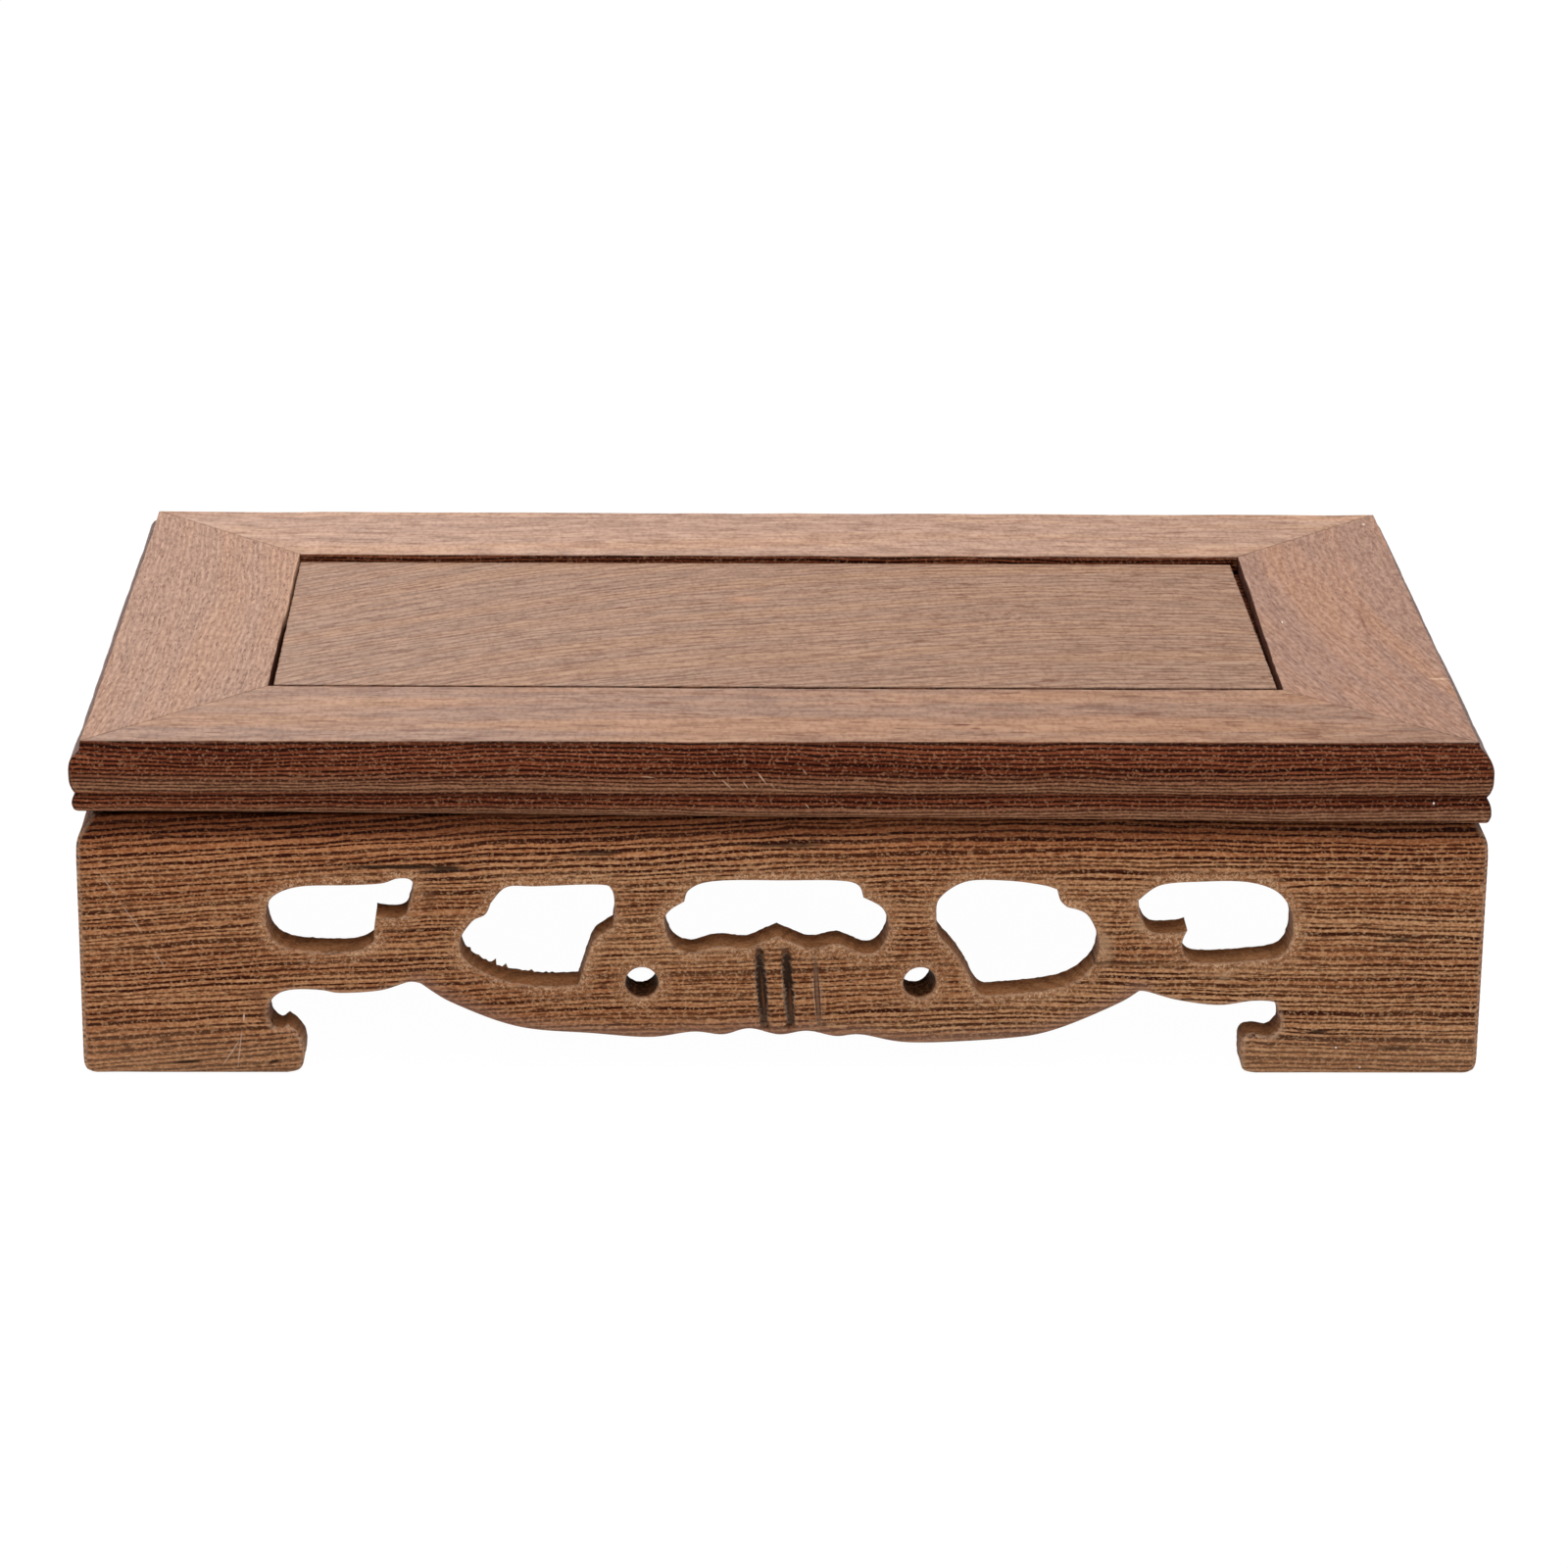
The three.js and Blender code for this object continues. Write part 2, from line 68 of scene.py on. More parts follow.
rail_high = node_box("front_rail", "back_rail", "left_rail", "right_rail")[1]
apron_high = node_box("front_apron", "back_apron", "left_apron", "right_apron")[1]
panel_low, panel_high = node_box("centre_panel")

HALF_LENGTH, HALF_DEPTH, TOP = rail_high
UNDERSIDE = apron_high[2]
APRON_HALF_LENGTH, APRON_HALF_DEPTH = apron_high[:2]
PANEL_TOP = panel_high[2]
PANEL_BOTTOM = panel_low[2]
BOARD = APRON_HALF_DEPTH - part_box("corner_block_back_left")[1][1] / MM
TONGUE = 3.0
RAIL_WIDTH = HALF_LENGTH - panel_high[0] + TONGUE

# Heights and reach of the groove in the frame, and of the panel's tongue that lies in it
GROOVE_LOW, GROOVE_HIGH, GROOVE_DEPTH = 33.0, 35.6, 3.5
TONGUE_LOW, TONGUE_HIGH, TONGUE_REACH = 33.3, 35.3, 2.9

# Kinds of edges in the outline of an apron
PLAIN, FOOT, OPENING, BELLY, DRILL = range(5)
SAWN = (FOOT, OPENING, BELLY, DRILL)

# Places of the four sides, as quarters of a turn from the front
SIDES = (("front", 0), ("right", 1), ("back", 2), ("left", 3))

# Fretted openings, each drawn about its own middle in millimetres. Every run is one smooth
# curve, and runs meet at corners.
LEFT_SLOT = (
    ((-8, -0.1), (-7.3, 2.2), (-4.4, 3.5), (1.2, 3.7), (4.4, 3.9), (5.9, 4.4), (7.2, 4.4), (7.7, 3.7),
     (7.3, 1.7), (6.7, 0.3), (5.4, 0), (3.7, 0.2)),
    ((3.7, 0.2), (3.5, -1.4), (3.45, -2.7)),
    ((3.45, -2.7), (2.2, -3.5), (0.8, -3.8), (-2.3, -3.8), (-5.6, -3.4), (-7.4, -2.1), (-8, -0.1)),
)
RIGHT_SLOT = (
    ((-8, 2.1), (-5.7, 3.8), (-1.5, 4.2), (3.3, 4.2), (6.6, 3.1), (8.2, 0.8), (8.4, -1.9), (7.3, -4.1),
     (3.6, -4.8), (-1.3, -5), (-2.8, -4.2), (-3.2, -2.7), (-2.7, -1.3)),
    ((-2.7, -1.3), (-4, -1.6), (-6.5, -1.5), (-7.6, 0.1), (-8, 2.1)),
)
LEFT_LEAF = (
    ((-5.4, 3.9), (-3.7, 5.7), (-0.5, 5.8), (6, 6), (7.4, 5.4), (7.7, 3.4), (7.5, 1.1)),
    ((7.5, 1.1), (5.6, -0.3), (4.8, -2.2), (3.8, -5.4)),
    ((3.8, -5.4), (-0.3, -5.5), (-5.1, -4.6), (-8.1, -2.6), (-8.7, -0.4), (-7.4, 1.8), (-6, 2.6),
     (-5.4, 3.9)),
)
RIGHT_LEAF = (
    ((-9.1, 2.3), (-8.8, 4.5), (-6, 6.4), (-1.6, 6.5), (2.1, 6), (3.6, 5.5)),
    ((3.6, 5.5), (4, 4.2), (4.7, 3.5)),
    ((4.7, 3.5), (6.9, 2.6), (8.2, -0.6), (7.4, -3.4), (4.2, -5.6), (-2.4, -6.5), (-4.4, -6.2),
     (-5.9, -3.5), (-7.3, -1.4), (-8.8, 0.4), (-9.1, 2.3)),
)
CLOUD = (
    ((-10.4, 1.8), (-9.8, 3.2), (-7.2, 4.1), (0, 4.2), (5.8, 4.2), (8, 3.7), (8.6, 2.3)),
    ((8.6, 2.3), (10.7, 1), (11.3, -1.4), (10.3, -3.6), (8.8, -4.1), (7.1, -3.4), (5.7, -3), (3.1, -3.5),
     (1.1, -2.8), (-0.5, -2.1)),
    ((-0.5, -2.1), (-2.1, -2.8), (-3.8, -3.5), (-6.9, -3.3), (-9.8, -4), (-11.7, -3), (-12.5, -0.5),
     (-11.9, 0.8), (-10.4, 1.8)),
)

# Inner ends of the feet from the floor up to the crest. The first number of each point is
# measured from the foot towards the middle of the apron.
NARROW_HOOK = (
    ((-1.9, 0), (-0.5, 0.5), (0, 1.8), (0, 3.4), (-0.6, 4.7), (-1.7, 5.7)),
    ((-1.7, 5.7), (-2.5, 5.2), (-3.4, 5.9), (-3.7, 7.3), (-3.1, 8.8), (-1.4, 9.6), (1.9, 9.6), (4, 9.3),
     (8.2, 9.6), (11.2, 10.5), (12.5, 10.3)),
)
SQUARE_HOOK = (
    ((-1.7, 0), (-0.5, 0.35), (-0.12, 1), (0, 2.2), (0, 3.6), (-0.4, 4.4), (-1.5, 4.6), (-2.9, 4.4),
     (-3.8, 5.1), (-4.1, 6), (-3.6, 7.9)),
    ((-3.6, 7.9), (-3.2, 8.4), (-1, 8.5), (2.6, 8), (6.6, 8.5), (10, 9.4), (11, 9.5)),
)

# Lower edges between the two crests, in millimetres from the middle of the apron
LONG_BELLY = ((-38.5, 10.3), (-35.1, 8), (-28.1, 5.3), (-20, 4.5), (-14, 4.1), (-9.4, 4.7), (-6.2, 4.4),
              (-3.4, 5.1), (-0.2, 4.4), (2.8, 4.8), (5.9, 4.2), (8.6, 4.4), (13.9, 3.5), (23.5, 3.9),
              (29.1, 4.9), (35.8, 7.9), (38.2, 9.5))
SHORT_BELLY = ((-16.6, 10.3), (-14, 8.3), (-9.4, 5.8), (-6.2, 4.8), (-3.2, 5.2), (0, 4.5), (3.2, 5.2),
               (6.2, 4.8), (9.4, 5.8), (14, 8.3), (16.6, 10.3))

# Moulded edge of the frame at its front right corner and at the others: how far in from its
# fullest line, and how far below its top
EDGE_LEFT = ((1.25, 0), (1.15, 0.9), (1.0, 1.15), (0.56, 1.5), (0.2, 2.0), (0.02, 2.7), (0, 3.3),
             (0.04, 4.2), (0.25, 5.0), (0.62, 5.6), (0.6, 5.8), (0.36, 6.15), (0.25, 6.6), (0.3, 7.0),
             (0.6, 7.5), (1.2, 7.8), (2.3, 8.1), (3.4, 8.5))
EDGE_RIGHT = ((1.6, 0), (1.52, 0.5), (1.22, 0.85), (0.78, 1.25), (0.36, 1.85), (0.08, 2.6), (0, 3.3),
              (0.03, 4.4), (0.25, 5.2), (0.6, 5.75), (0.66, 5.95), (0.4, 6.3), (0.2, 6.8), (0.1, 7.4),
              (0.12, 8.0), (0.4, 8.55), (0.95, 8.75), (1.7, 8.5))


def length(name, description, size, least):
    """Length setting, whose default and lowest value are given in millimetres."""
    return FloatProperty(name=name, description=description, default=size * MM, min=least * MM,
                         subtype="DISTANCE", unit="LENGTH", precision=5)


def wood_colour(name, description, default):
    """Colour setting with its scene-linear default."""
    return FloatVectorProperty(name=name, description=description, default=default, subtype="COLOR",
                               size=3, min=0.0, max=1.0)


def in_millimetres(group):
    """Values of a group of lengths, in millimetres."""
    return SimpleNamespace(**{key: round(getattr(group, key) / MM, 5) for key in group.__annotations__})


class StandSizes(bpy.types.PropertyGroup):
    """Sizes of the wood pieces."""

    opening_arris: length("Opening arris", "Radius eased along the openings", 0.32, 0.05)
    foot_arris: length("Foot arris", "Radius eased along the feet", 0.55, 0.05)
    belly_arris: length("Belly arris", "Radius eased along the lower edge", 1.15, 0.05)
    back_arris: length("Back arris", "Radius eased on the inside of the boards", 0.2, 0.05)
    corner_arris: length("Corner arris", "Radius of the upright corners", 1.3, 0.1)
    frame_corner: length("Frame corner", "Radius of the frame's corners", 0.5, 0.1)
    bevel_in: length("Bevel in", "How far the aprons lean in at their top", 1.8, 0.0)
    bevel_down: length("Bevel down", "Height of the leaning band at their top", 2.4, 0.1)
    drill: length("Drill", "Diameter of the drilled start holes", 3.5, 0.5)
    sample: length("Sample", "Spacing of mesh points along a sawn edge", 0.32, 0.1)
    mitre_gap: length("Mitre gap", "Open width of a glued mitre", 0.03, 0.0)


class StandFinish(bpy.types.PropertyGroup):
    """Colours of the wood."""

    apron_light: wood_colour("Apron light", "Pale wood between the lines of the aprons",
                             (0.515, 0.278, 0.138))
    apron_dark: wood_colour("Apron dark", "Dark lines of the aprons", (0.045, 0.009, 0.002))
    frame_light: wood_colour("Frame light", "Pale wood between the lines of the frame",
                             (0.225, 0.064, 0.027))
    frame_dark: wood_colour("Frame dark", "Dark lines of the frame", (0.02, 0.0035, 0.0012))
    top_light: wood_colour("Top light", "Pale wood of the sanded tops", (0.44, 0.235, 0.145))
    top_dark: wood_colour("Top dark", "Darker streaks of the sanded tops", (0.19, 0.09, 0.06))


# Curves

# Samples of each span of a curve, before they are spread evenly
SPAN_SAMPLES = 24


def smooth_run(points, spacing):
    """Uniform Catmull-Rom curve sampled evenly: each span is the cubic whose end slopes are half
    the step between the neighbouring points. Returns the samples without the last one."""
    p = np.asarray(points, float)
    q = np.vstack([p[:1], p, p[-1:]])
    t = np.linspace(0, 1, SPAN_SAMPLES, endpoint=False)[:, None]
    a, b = q[1:-2, None], q[2:-1, None]
    slope_a, slope_b = (b - q[:-3, None]) / 2, (q[3:, None] - a) / 2
    curve = (2 * a - 2 * b + slope_a + slope_b) * t**3 + (3 * b - 3 * a - 2 * slope_a - slope_b) * t**2
    curve = np.vstack([(curve + slope_a * t + a).reshape(-1, p.shape[1]), p[-1:]])
    return evenly(curve, spacing)[:-1]


def lengths_along(line):
    """Distance of each point of a polyline from its start, along it."""
    return np.concatenate([[0], np.cumsum(np.linalg.norm(np.diff(line, axis=0), axis=1))])


def spread(line, count):
    """Points at even steps along a polyline, its two ends included."""
    along = lengths_along(line)
    at = np.linspace(0, along[-1], count)
    return np.column_stack([np.interp(at, along, line[:, k]) for k in range(line.shape[1])])


def evenly(line, spacing):
    """Points along a polyline at even steps, as near to the spacing as the length allows."""
    return spread(line, max(2, int(round(lengths_along(line)[-1] / spacing)) + 1))


def wander(t, seed, period, size):
    """Smooth random offset: five sines of falling period and size, with phases from the seed."""
    rng = np.random.default_rng(seed)
    waves = np.arange(1, 6)
    phases = rng.uniform(0, 2 * np.pi, (5, 1))
    turns = waves[:, None] * rng.uniform(0.8, 1.2, (5, 1)) * np.atleast_1d(t).ravel() / period
    total = (np.sin(2 * np.pi * turns + phases) / waves[:, None]).sum(0)
    return (size * total / 1.2).reshape(np.shape(t))


def ripple(x, z, seed, period, size):
    """Smooth random height over a plane: the sum of seven sine waves in random directions,
    divided by the root of seven."""
    rng = np.random.default_rng(seed)
    angles = rng.uniform(0, np.pi, 7)
    scale = rng.uniform(0.6, 1.6, 7) * 2 * np.pi / period
    phases = rng.uniform(0, 2 * np.pi, 7)
    waves = [np.sin(s * (x * np.cos(a) + z * np.sin(a)) + p) for a, s, p in zip(angles, scale, phases)]
    return size * sum(waves) / np.sqrt(7)


def eased(distance, radius):
    """Depth of a quarter-round arris: r - sqrt(r^2 - (r - d)^2) within the radius, else nothing."""
    short = np.clip(radius - distance, 0, radius)
    return radius - np.sqrt(radius**2 - short**2)


def linear(low, high, value):
    """Straight rise from 0 at low to 1 at high."""
    return np.clip((value - low) / (high - low), 0, 1)


def smoothstep(low, high, value):
    """Cubic 3t^2 - 2t^3 from 0 at low to 1 at high."""
    t = linear(low, high, value)
    return t * t * (3 - 2 * t)


# Meshes


def make_mesh(name, points, polygons, values=None):
    """Puts points in millimetres, groups of equal-sided polygons and point values into a mesh."""
    mesh = bpy.data.meshes.new(name)
    mesh.vertices.add(len(points))
    mesh.vertices.foreach_set("co", (np.asarray(points) * MM).astype(np.float32).ravel())
    corners = np.concatenate([group.ravel() for group in polygons])
    sides = np.concatenate([np.full(len(group), group.shape[1]) for group in polygons])
    mesh.loops.add(len(corners))
    mesh.loops.foreach_set("vertex_index", corners.astype(np.int32))
    mesh.polygons.add(len(sides))
    starts = np.concatenate([[0], np.cumsum(sides)[:-1]])
    mesh.polygons.foreach_set("loop_start", starts.astype(np.int32))
    mesh.polygons.foreach_set("use_smooth", np.ones(len(sides), bool))
    mesh.update(calc_edges=True)
    mesh.validate()
    for key, value in (values or {}).items():
        layer = mesh.attributes.new(key, "FLOAT", "POINT")
        layer.data.foreach_set("value", np.asarray(value, np.float32))
    return mesh


def make_piece(name, mesh, node, material):
    """Adds a piece at the origin that stands for one node of the frame."""
    piece = bpy.data.objects.new(name, mesh)
    bpy.context.scene.collection.objects.link(piece)
    mesh.materials.append(material)
    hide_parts(node)
    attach(piece, "root")
    return piece


def turned(points, quarter):
    """Points turned about the upright axis by quarters of a turn."""
    angle = quarter * math.pi / 2
    c, s = round(math.cos(angle)), round(math.sin(angle))
    x, y = points[:, 0], points[:, 1]
    return np.column_stack([c * x - s * y, s * x + c * y, points[:, 2]])


def strip(rings, closed_round=True):
    """Quads between successive rings of point numbers, one ring to a row."""
    nxt = np.roll(rings, -1, axis=1) if closed_round else rings[:, 1:]
    here = rings if closed_round else rings[:, :-1]
    quads = np.stack([here[:-1], nxt[:-1], nxt[1:], here[1:]], axis=-1)
    return quads.reshape(-1, 4)


# Sawn boards

# Spacing of the face's field of points, and its least distance from a sawn edge
FIELD_X, FIELD_Z, FIELD_GAP = 0.5, 0.45, 1.5


class BoardPlan:
    """Outline of an apron, its triangulated face, and each point's distance from the saw cuts."""

    def __init__(self, half, loops, kinds, fine_rows):
        self.half = half
        self.loop_points = np.vstack(loops)
        counts = [len(loop) for loop in loops]
        firsts = np.concatenate([[0], np.cumsum(counts)[:-1]])
        self.rings = [np.arange(first, first + n) for first, n in zip(firsts, counts)]
        self.after = np.concatenate([np.roll(ring, -1) for ring in self.rings])
        self.kind = np.concatenate(kinds)
        self.build_face(fine_rows)

    def segments(self, wanted):
        """Start and end of the outline's edges whose kind is wanted."""
        pick = np.isin(self.kind, wanted)
        return self.loop_points[pick], self.loop_points[self.after[pick]]

    def distance(self, points, wanted):
        """Distance from each point to the nearest outline edge of the wanted kinds."""
        starts, ends = self.segments(wanted)
        along = ends - starts
        length2 = np.maximum((along**2).sum(1), 1e-12)
        found = []
        for part in np.array_split(points, max(1, len(points) // 3000)):
            offset = part[:, None] - starts
            t = np.clip((offset * along).sum(2) / length2, 0, 1)
            found.append(np.sqrt(((offset - t[..., None] * along) ** 2).sum(2).min(1)))
        return np.concatenate(found)

    def inside(self, points):
        """True where a ray towards +x crosses the outline an odd number of times."""
        starts, ends = self.loop_points, self.loop_points[self.after]
        found = []
        for part in np.array_split(points, max(1, len(points) // 3000)):
            x, z = part[:, :1], part[:, 1:]
            spans = (starts[:, 1] > z) != (ends[:, 1] > z)
            rise = np.where(ends[:, 1] == starts[:, 1], 1.0, ends[:, 1] - starts[:, 1])
            crossing = starts[:, 0] + (z - starts[:, 1]) * (ends[:, 0] - starts[:, 0]) / rise
            found.append(((spans & (crossing > x)).sum(1) % 2) == 1)
        return np.concatenate(found)

    def normals(self):
        """Unit normals of the outline at its points, from the chord between their neighbours."""
        before = np.concatenate([np.roll(ring, 1) for ring in self.rings])
        chord = self.loop_points[self.after] - self.loop_points[before]
        chord /= np.maximum(np.linalg.norm(chord, axis=1), 1e-9)[:, None]
        return np.column_stack([-chord[:, 1], chord[:, 0]])

    def build_face(self, fine_rows):
        """Face points: the outline, rings set in from it where the arris curves, a field of
        staggered rows, and finer rows along gouged lines. Their triangles cover the wood only."""
        normals = self.normals()
        sawn = self.kind != PLAIN
        rings = []
        for inset in (0.07, 0.16, 0.28, 0.45, 0.68, 0.95, 1.25):
            ring = self.loop_points[sawn] + inset * normals[sawn]
            rings.append(ring[self.distance(ring, SAWN) > 0.93 * inset])
        reach = self.half - 0.35
        xs = np.arange(-reach, reach, FIELD_X)
        zs = np.arange(0.4, UNDERSIDE - 0.2, FIELD_Z)
        grid = np.stack(np.meshgrid(xs, zs), -1)
        grid[::2, :, 0] += FIELD_X / 2
        grid = grid.reshape(-1, 2)
        grid = grid[np.abs(grid[:, 0]) < reach]
        grid = grid[self.distance(grid, SAWN) > FIELD_GAP]
        inner = np.vstack(rings + [grid] + fine_rows)
        inner = inner[self.inside(inner)]
        ends = self.half - np.abs(inner[:, 0])
        inner = inner[(ends > 0.38) & (inner[:, 1] < UNDERSIDE - 0.12)]
        points = np.vstack([self.loop_points, inner])
        edges = np.column_stack([np.arange(len(self.after)), self.after])
        triangles = triangulate(points, edges)
        n = len(self.loop_points)
        rim = (triangles < n).all(1)
        keep = ~rim
        keep[rim] = self.inside(points[triangles[rim]].mean(1))
        self.points = points
        self.triangles = triangles[keep]
        self.to_holes = self.distance(points, (OPENING, DRILL))
        self.to_feet = self.distance(points, (FOOT,))
        self.to_belly = self.distance(points, (BELLY,))
        self.to_lower = np.minimum(self.to_feet, self.to_belly)


def triangulate(points, edges):
    """Constrained Delaunay triangles over the points, turned anticlockwise."""
    made = delaunay_2d_cdt(points.tolist(), edges.tolist(), [], 0, 1e-7)
    origins = np.array([o[0] if o else -1 for o in made[3]])
    triangles = origins[np.array([f for f in made[2] if len(f) == 3])]
    triangles = triangles[(triangles >= 0).all(1)]
    a, b, c = (points[triangles[:, k]] for k in range(3))
    area = (b[:, 0] - a[:, 0]) * (c[:, 1] - a[:, 1]) - (b[:, 1] - a[:, 1]) * (c[:, 0] - a[:, 0])
    triangles[area < 0] = triangles[area < 0][:, ::-1]
    return triangles[np.abs(area) > 1e-9]


def traced(runs, x, z, side, spacing):
    """Runs of points placed at x and z, and mirrored where side is -1, as one open line."""
    parts = [smooth_run(np.array(run) * (side, 1) + (x, z), spacing) for run in runs]
    return np.vstack(parts)


def clockwise(loop):
    """The loop in the order that keeps the wood on its left."""
    x, z = loop[:, 0], loop[:, 1]
    area = (x * np.roll(z, -1) - np.roll(x, -1) * z).sum()
    return loop if area < 0 else loop[::-1]


# Spacing of outline points along the mitred ends and the top
END_STEP = 0.5

# Lengths of the feet: left and right on the long aprons, and both on the short ones
LONG_LEFT_FOOT, LONG_RIGHT_FOOT, SHORT_FOOT = 23.6, 25.4, 15.5


def outer_loop(half, left_hook, left_foot, right_hook, right_foot, belly, sizes):
    """Outer outline from the top left corner round the feet, with the kind of each edge."""
    step = sizes.sample
    edge = half - (1 - math.sqrt(0.5)) * sizes.corner_arris
    left_x, right_x = left_foot - half, half - right_foot
    foot_left = left_x + left_hook[0][0][0]
    foot_right = right_x - right_hook[0][0][0]
    downwards = [tuple(reversed(run)) for run in reversed(right_hook)]
    parts = [
        (evenly(np.array([(-edge, UNDERSIDE), (-edge, 0.0)]), END_STEP)[:-1], PLAIN),
        (evenly(np.array([(-edge, 0.0), (foot_left, 0.0)]), step)[:-1], FOOT),
        (traced(left_hook, left_x, 0, 1, step), FOOT),
        (smooth_run(belly, step), BELLY),
        (traced(downwards, right_x, 0, -1, step), FOOT),
        (evenly(np.array([(foot_right, 0.0), (edge, 0.0)]), step)[:-1], FOOT),
        (evenly(np.array([(edge, 0.0), (edge, UNDERSIDE)]), END_STEP)[:-1], PLAIN),
        (evenly(np.array([(edge, UNDERSIDE), (-edge, UNDERSIDE)]), END_STEP)[:-1], PLAIN),
    ]
    loop = np.vstack([part for part, _ in parts])
    kinds = np.concatenate([np.full(len(part), kind) for part, kind in parts])
    return loop, kinds


# Drilled holes: x of the middle, and how far the drill strayed in x and z on its way through
DRILLED = ((-14.9, -0.15, 0.3), (14.75, -0.5, 0.35))
DRILL_HEIGHT = 10.6
DRILL_POINTS = 48

# Gouged lines: x of the middle, half width and depth
GOUGES = ((-2.1, 0.55, 0.62), (0.7, 0.55, 0.62), (3.8, 0.3, 0.22))
GOUGE_LEAN, GOUGE_TOP, GOUGE_FOOT = 0.7, 14.6, 5.2

# Heights of the middles of the openings, from the solid band along the top
BAND = UNDERSIDE - 6.8
SLOT_HEIGHT, LEAF_HEIGHT, CLOUD_HEIGHT = BAND - 4.3, BAND - 6.5, BAND - 4.2
LONG_OPENINGS = ((LEFT_SLOT, -46.8, SLOT_HEIGHT, 1), (RIGHT_SLOT, 45.7, SLOT_HEIGHT, 1),
                 (LEFT_LEAF, -25.5, LEAF_HEIGHT, 1), (RIGHT_LEAF, 25.5, LEAF_HEIGHT, 1),
                 (CLOUD, 0, CLOUD_HEIGHT, 1))
SHORT_OPENINGS = ((LEFT_SLOT, -24.9, SLOT_HEIGHT, 1), (LEFT_SLOT, 24.9, SLOT_HEIGHT, -1),
                  (CLOUD, 0, CLOUD_HEIGHT, 1))


def gouge_shift(z):
    """How far the leaning gouged lines lie to the right of their middle at height z."""
    return GOUGE_LEAN * ((GOUGE_TOP + GOUGE_FOOT) / 2 - z) / (GOUGE_TOP - GOUGE_FOOT)


def gouge_rows():
    """Close rows of face points along the gouged lines."""
    across = np.linspace(-0.95, 0.95, 15)
    down = np.arange(GOUGE_FOOT - 0.5, GOUGE_TOP + 0.5, 0.3)
    u, z = np.meshgrid(across, down)
    return [np.column_stack([(middle + u + gouge_shift(z)).ravel(), z.ravel()])
            for middle, _, _ in GOUGES]


def long_plan(sizes):
    """Plan of the front and back aprons."""
    outer = outer_loop(APRON_HALF_LENGTH, NARROW_HOOK, LONG_LEFT_FOOT, SQUARE_HOOK,
                       LONG_RIGHT_FOOT, LONG_BELLY, sizes)
    turns = np.linspace(0, 2 * np.pi, DRILL_POINTS, endpoint=False)
    ring = np.column_stack([np.cos(turns), np.sin(turns)]) * sizes.drill / 2
    drilled = [clockwise(ring + (x, DRILL_HEIGHT)) for x, _, _ in DRILLED]
    return board_plan(APRON_HALF_LENGTH, outer, LONG_OPENINGS, drilled, gouge_rows(), sizes)


def short_plan(sizes):
    """Plan of the left and right aprons."""
    outer = outer_loop(APRON_HALF_DEPTH, NARROW_HOOK, SHORT_FOOT, NARROW_HOOK, SHORT_FOOT,
                       SHORT_BELLY, sizes)
    return board_plan(APRON_HALF_DEPTH, outer, SHORT_OPENINGS, [], [], sizes)


def board_plan(half, outer, openings, drilled, fine_rows, sizes):
    """Plan from the outer outline, the fretted openings and the drilled holes."""
    loop, kinds = outer
    holes = [clockwise(traced(runs, x, z, side, sizes.sample)) for runs, x, z, side in openings]
    all_kinds = [kinds] + [np.full(len(hole), OPENING) for hole in holes]
    all_kinds += [np.full(len(hole), DRILL) for hole in drilled]
    return BoardPlan(half, [loop] + holes + drilled, all_kinds, fine_rows)


# Hollows left by the file and gouge: x, z, reach along x, reach along z, depth
LONG_HOLLOWS = (
    (-50.6, 8.0, 2.2, 1.6, 0.55), (-49.2, 4.8, 1.5, 1.2, 0.4), (-52.6, 11.2, 1.8, 1.0, 0.3),
    (-37.2, 19.5, 1.5, 2.6, 0.5), (-36.0, 15.4, 1.8, 1.2, 0.4), (-41.8, 15.6, 1.8, 1.2, 0.3),
    (-18.6, 15.4, 1.7, 2.4, 0.5), (-17.0, 19.8, 1.3, 2.0, 0.35), (-31.6, 11.4, 2.2, 1.2, 0.35),
    (37.4, 16.4, 1.4, 1.4, 0.5), (34.9, 13.4, 1.5, 2.2, 0.4), (55.0, 19.0, 1.4, 2.4, 0.4),
    (50.2, 5.4, 1.3, 1.3, 0.6), (17.2, 12.6, 1.6, 1.5, 0.35), (12.2, 19.5, 1.2, 1.6, 0.3),
    (-13.4, 18.8, 1.2, 2.0, 0.3), (30.6, 20.3, 1.5, 1.1, 0.3), (-55.2, 18.2, 1.2, 2.2, 0.3),
)
SHORT_HOLLOWS = (
    (-28.6, 8.0, 2.0, 1.4, 0.4), (28.6, 8.0, 2.0, 1.4, 0.4), (-15.9, 19.4, 1.4, 2.4, 0.4),
    (15.9, 19.4, 1.4, 2.4, 0.4), (-33.6, 18.2, 1.2, 2.2, 0.3), (33.6, 18.2, 1.2, 2.2, 0.3),
)


# Width of the strip at each end of an apron that counts as its foot, and of the fade next to it
FOOT_ZONE, FOOT_FADE = 33, 5


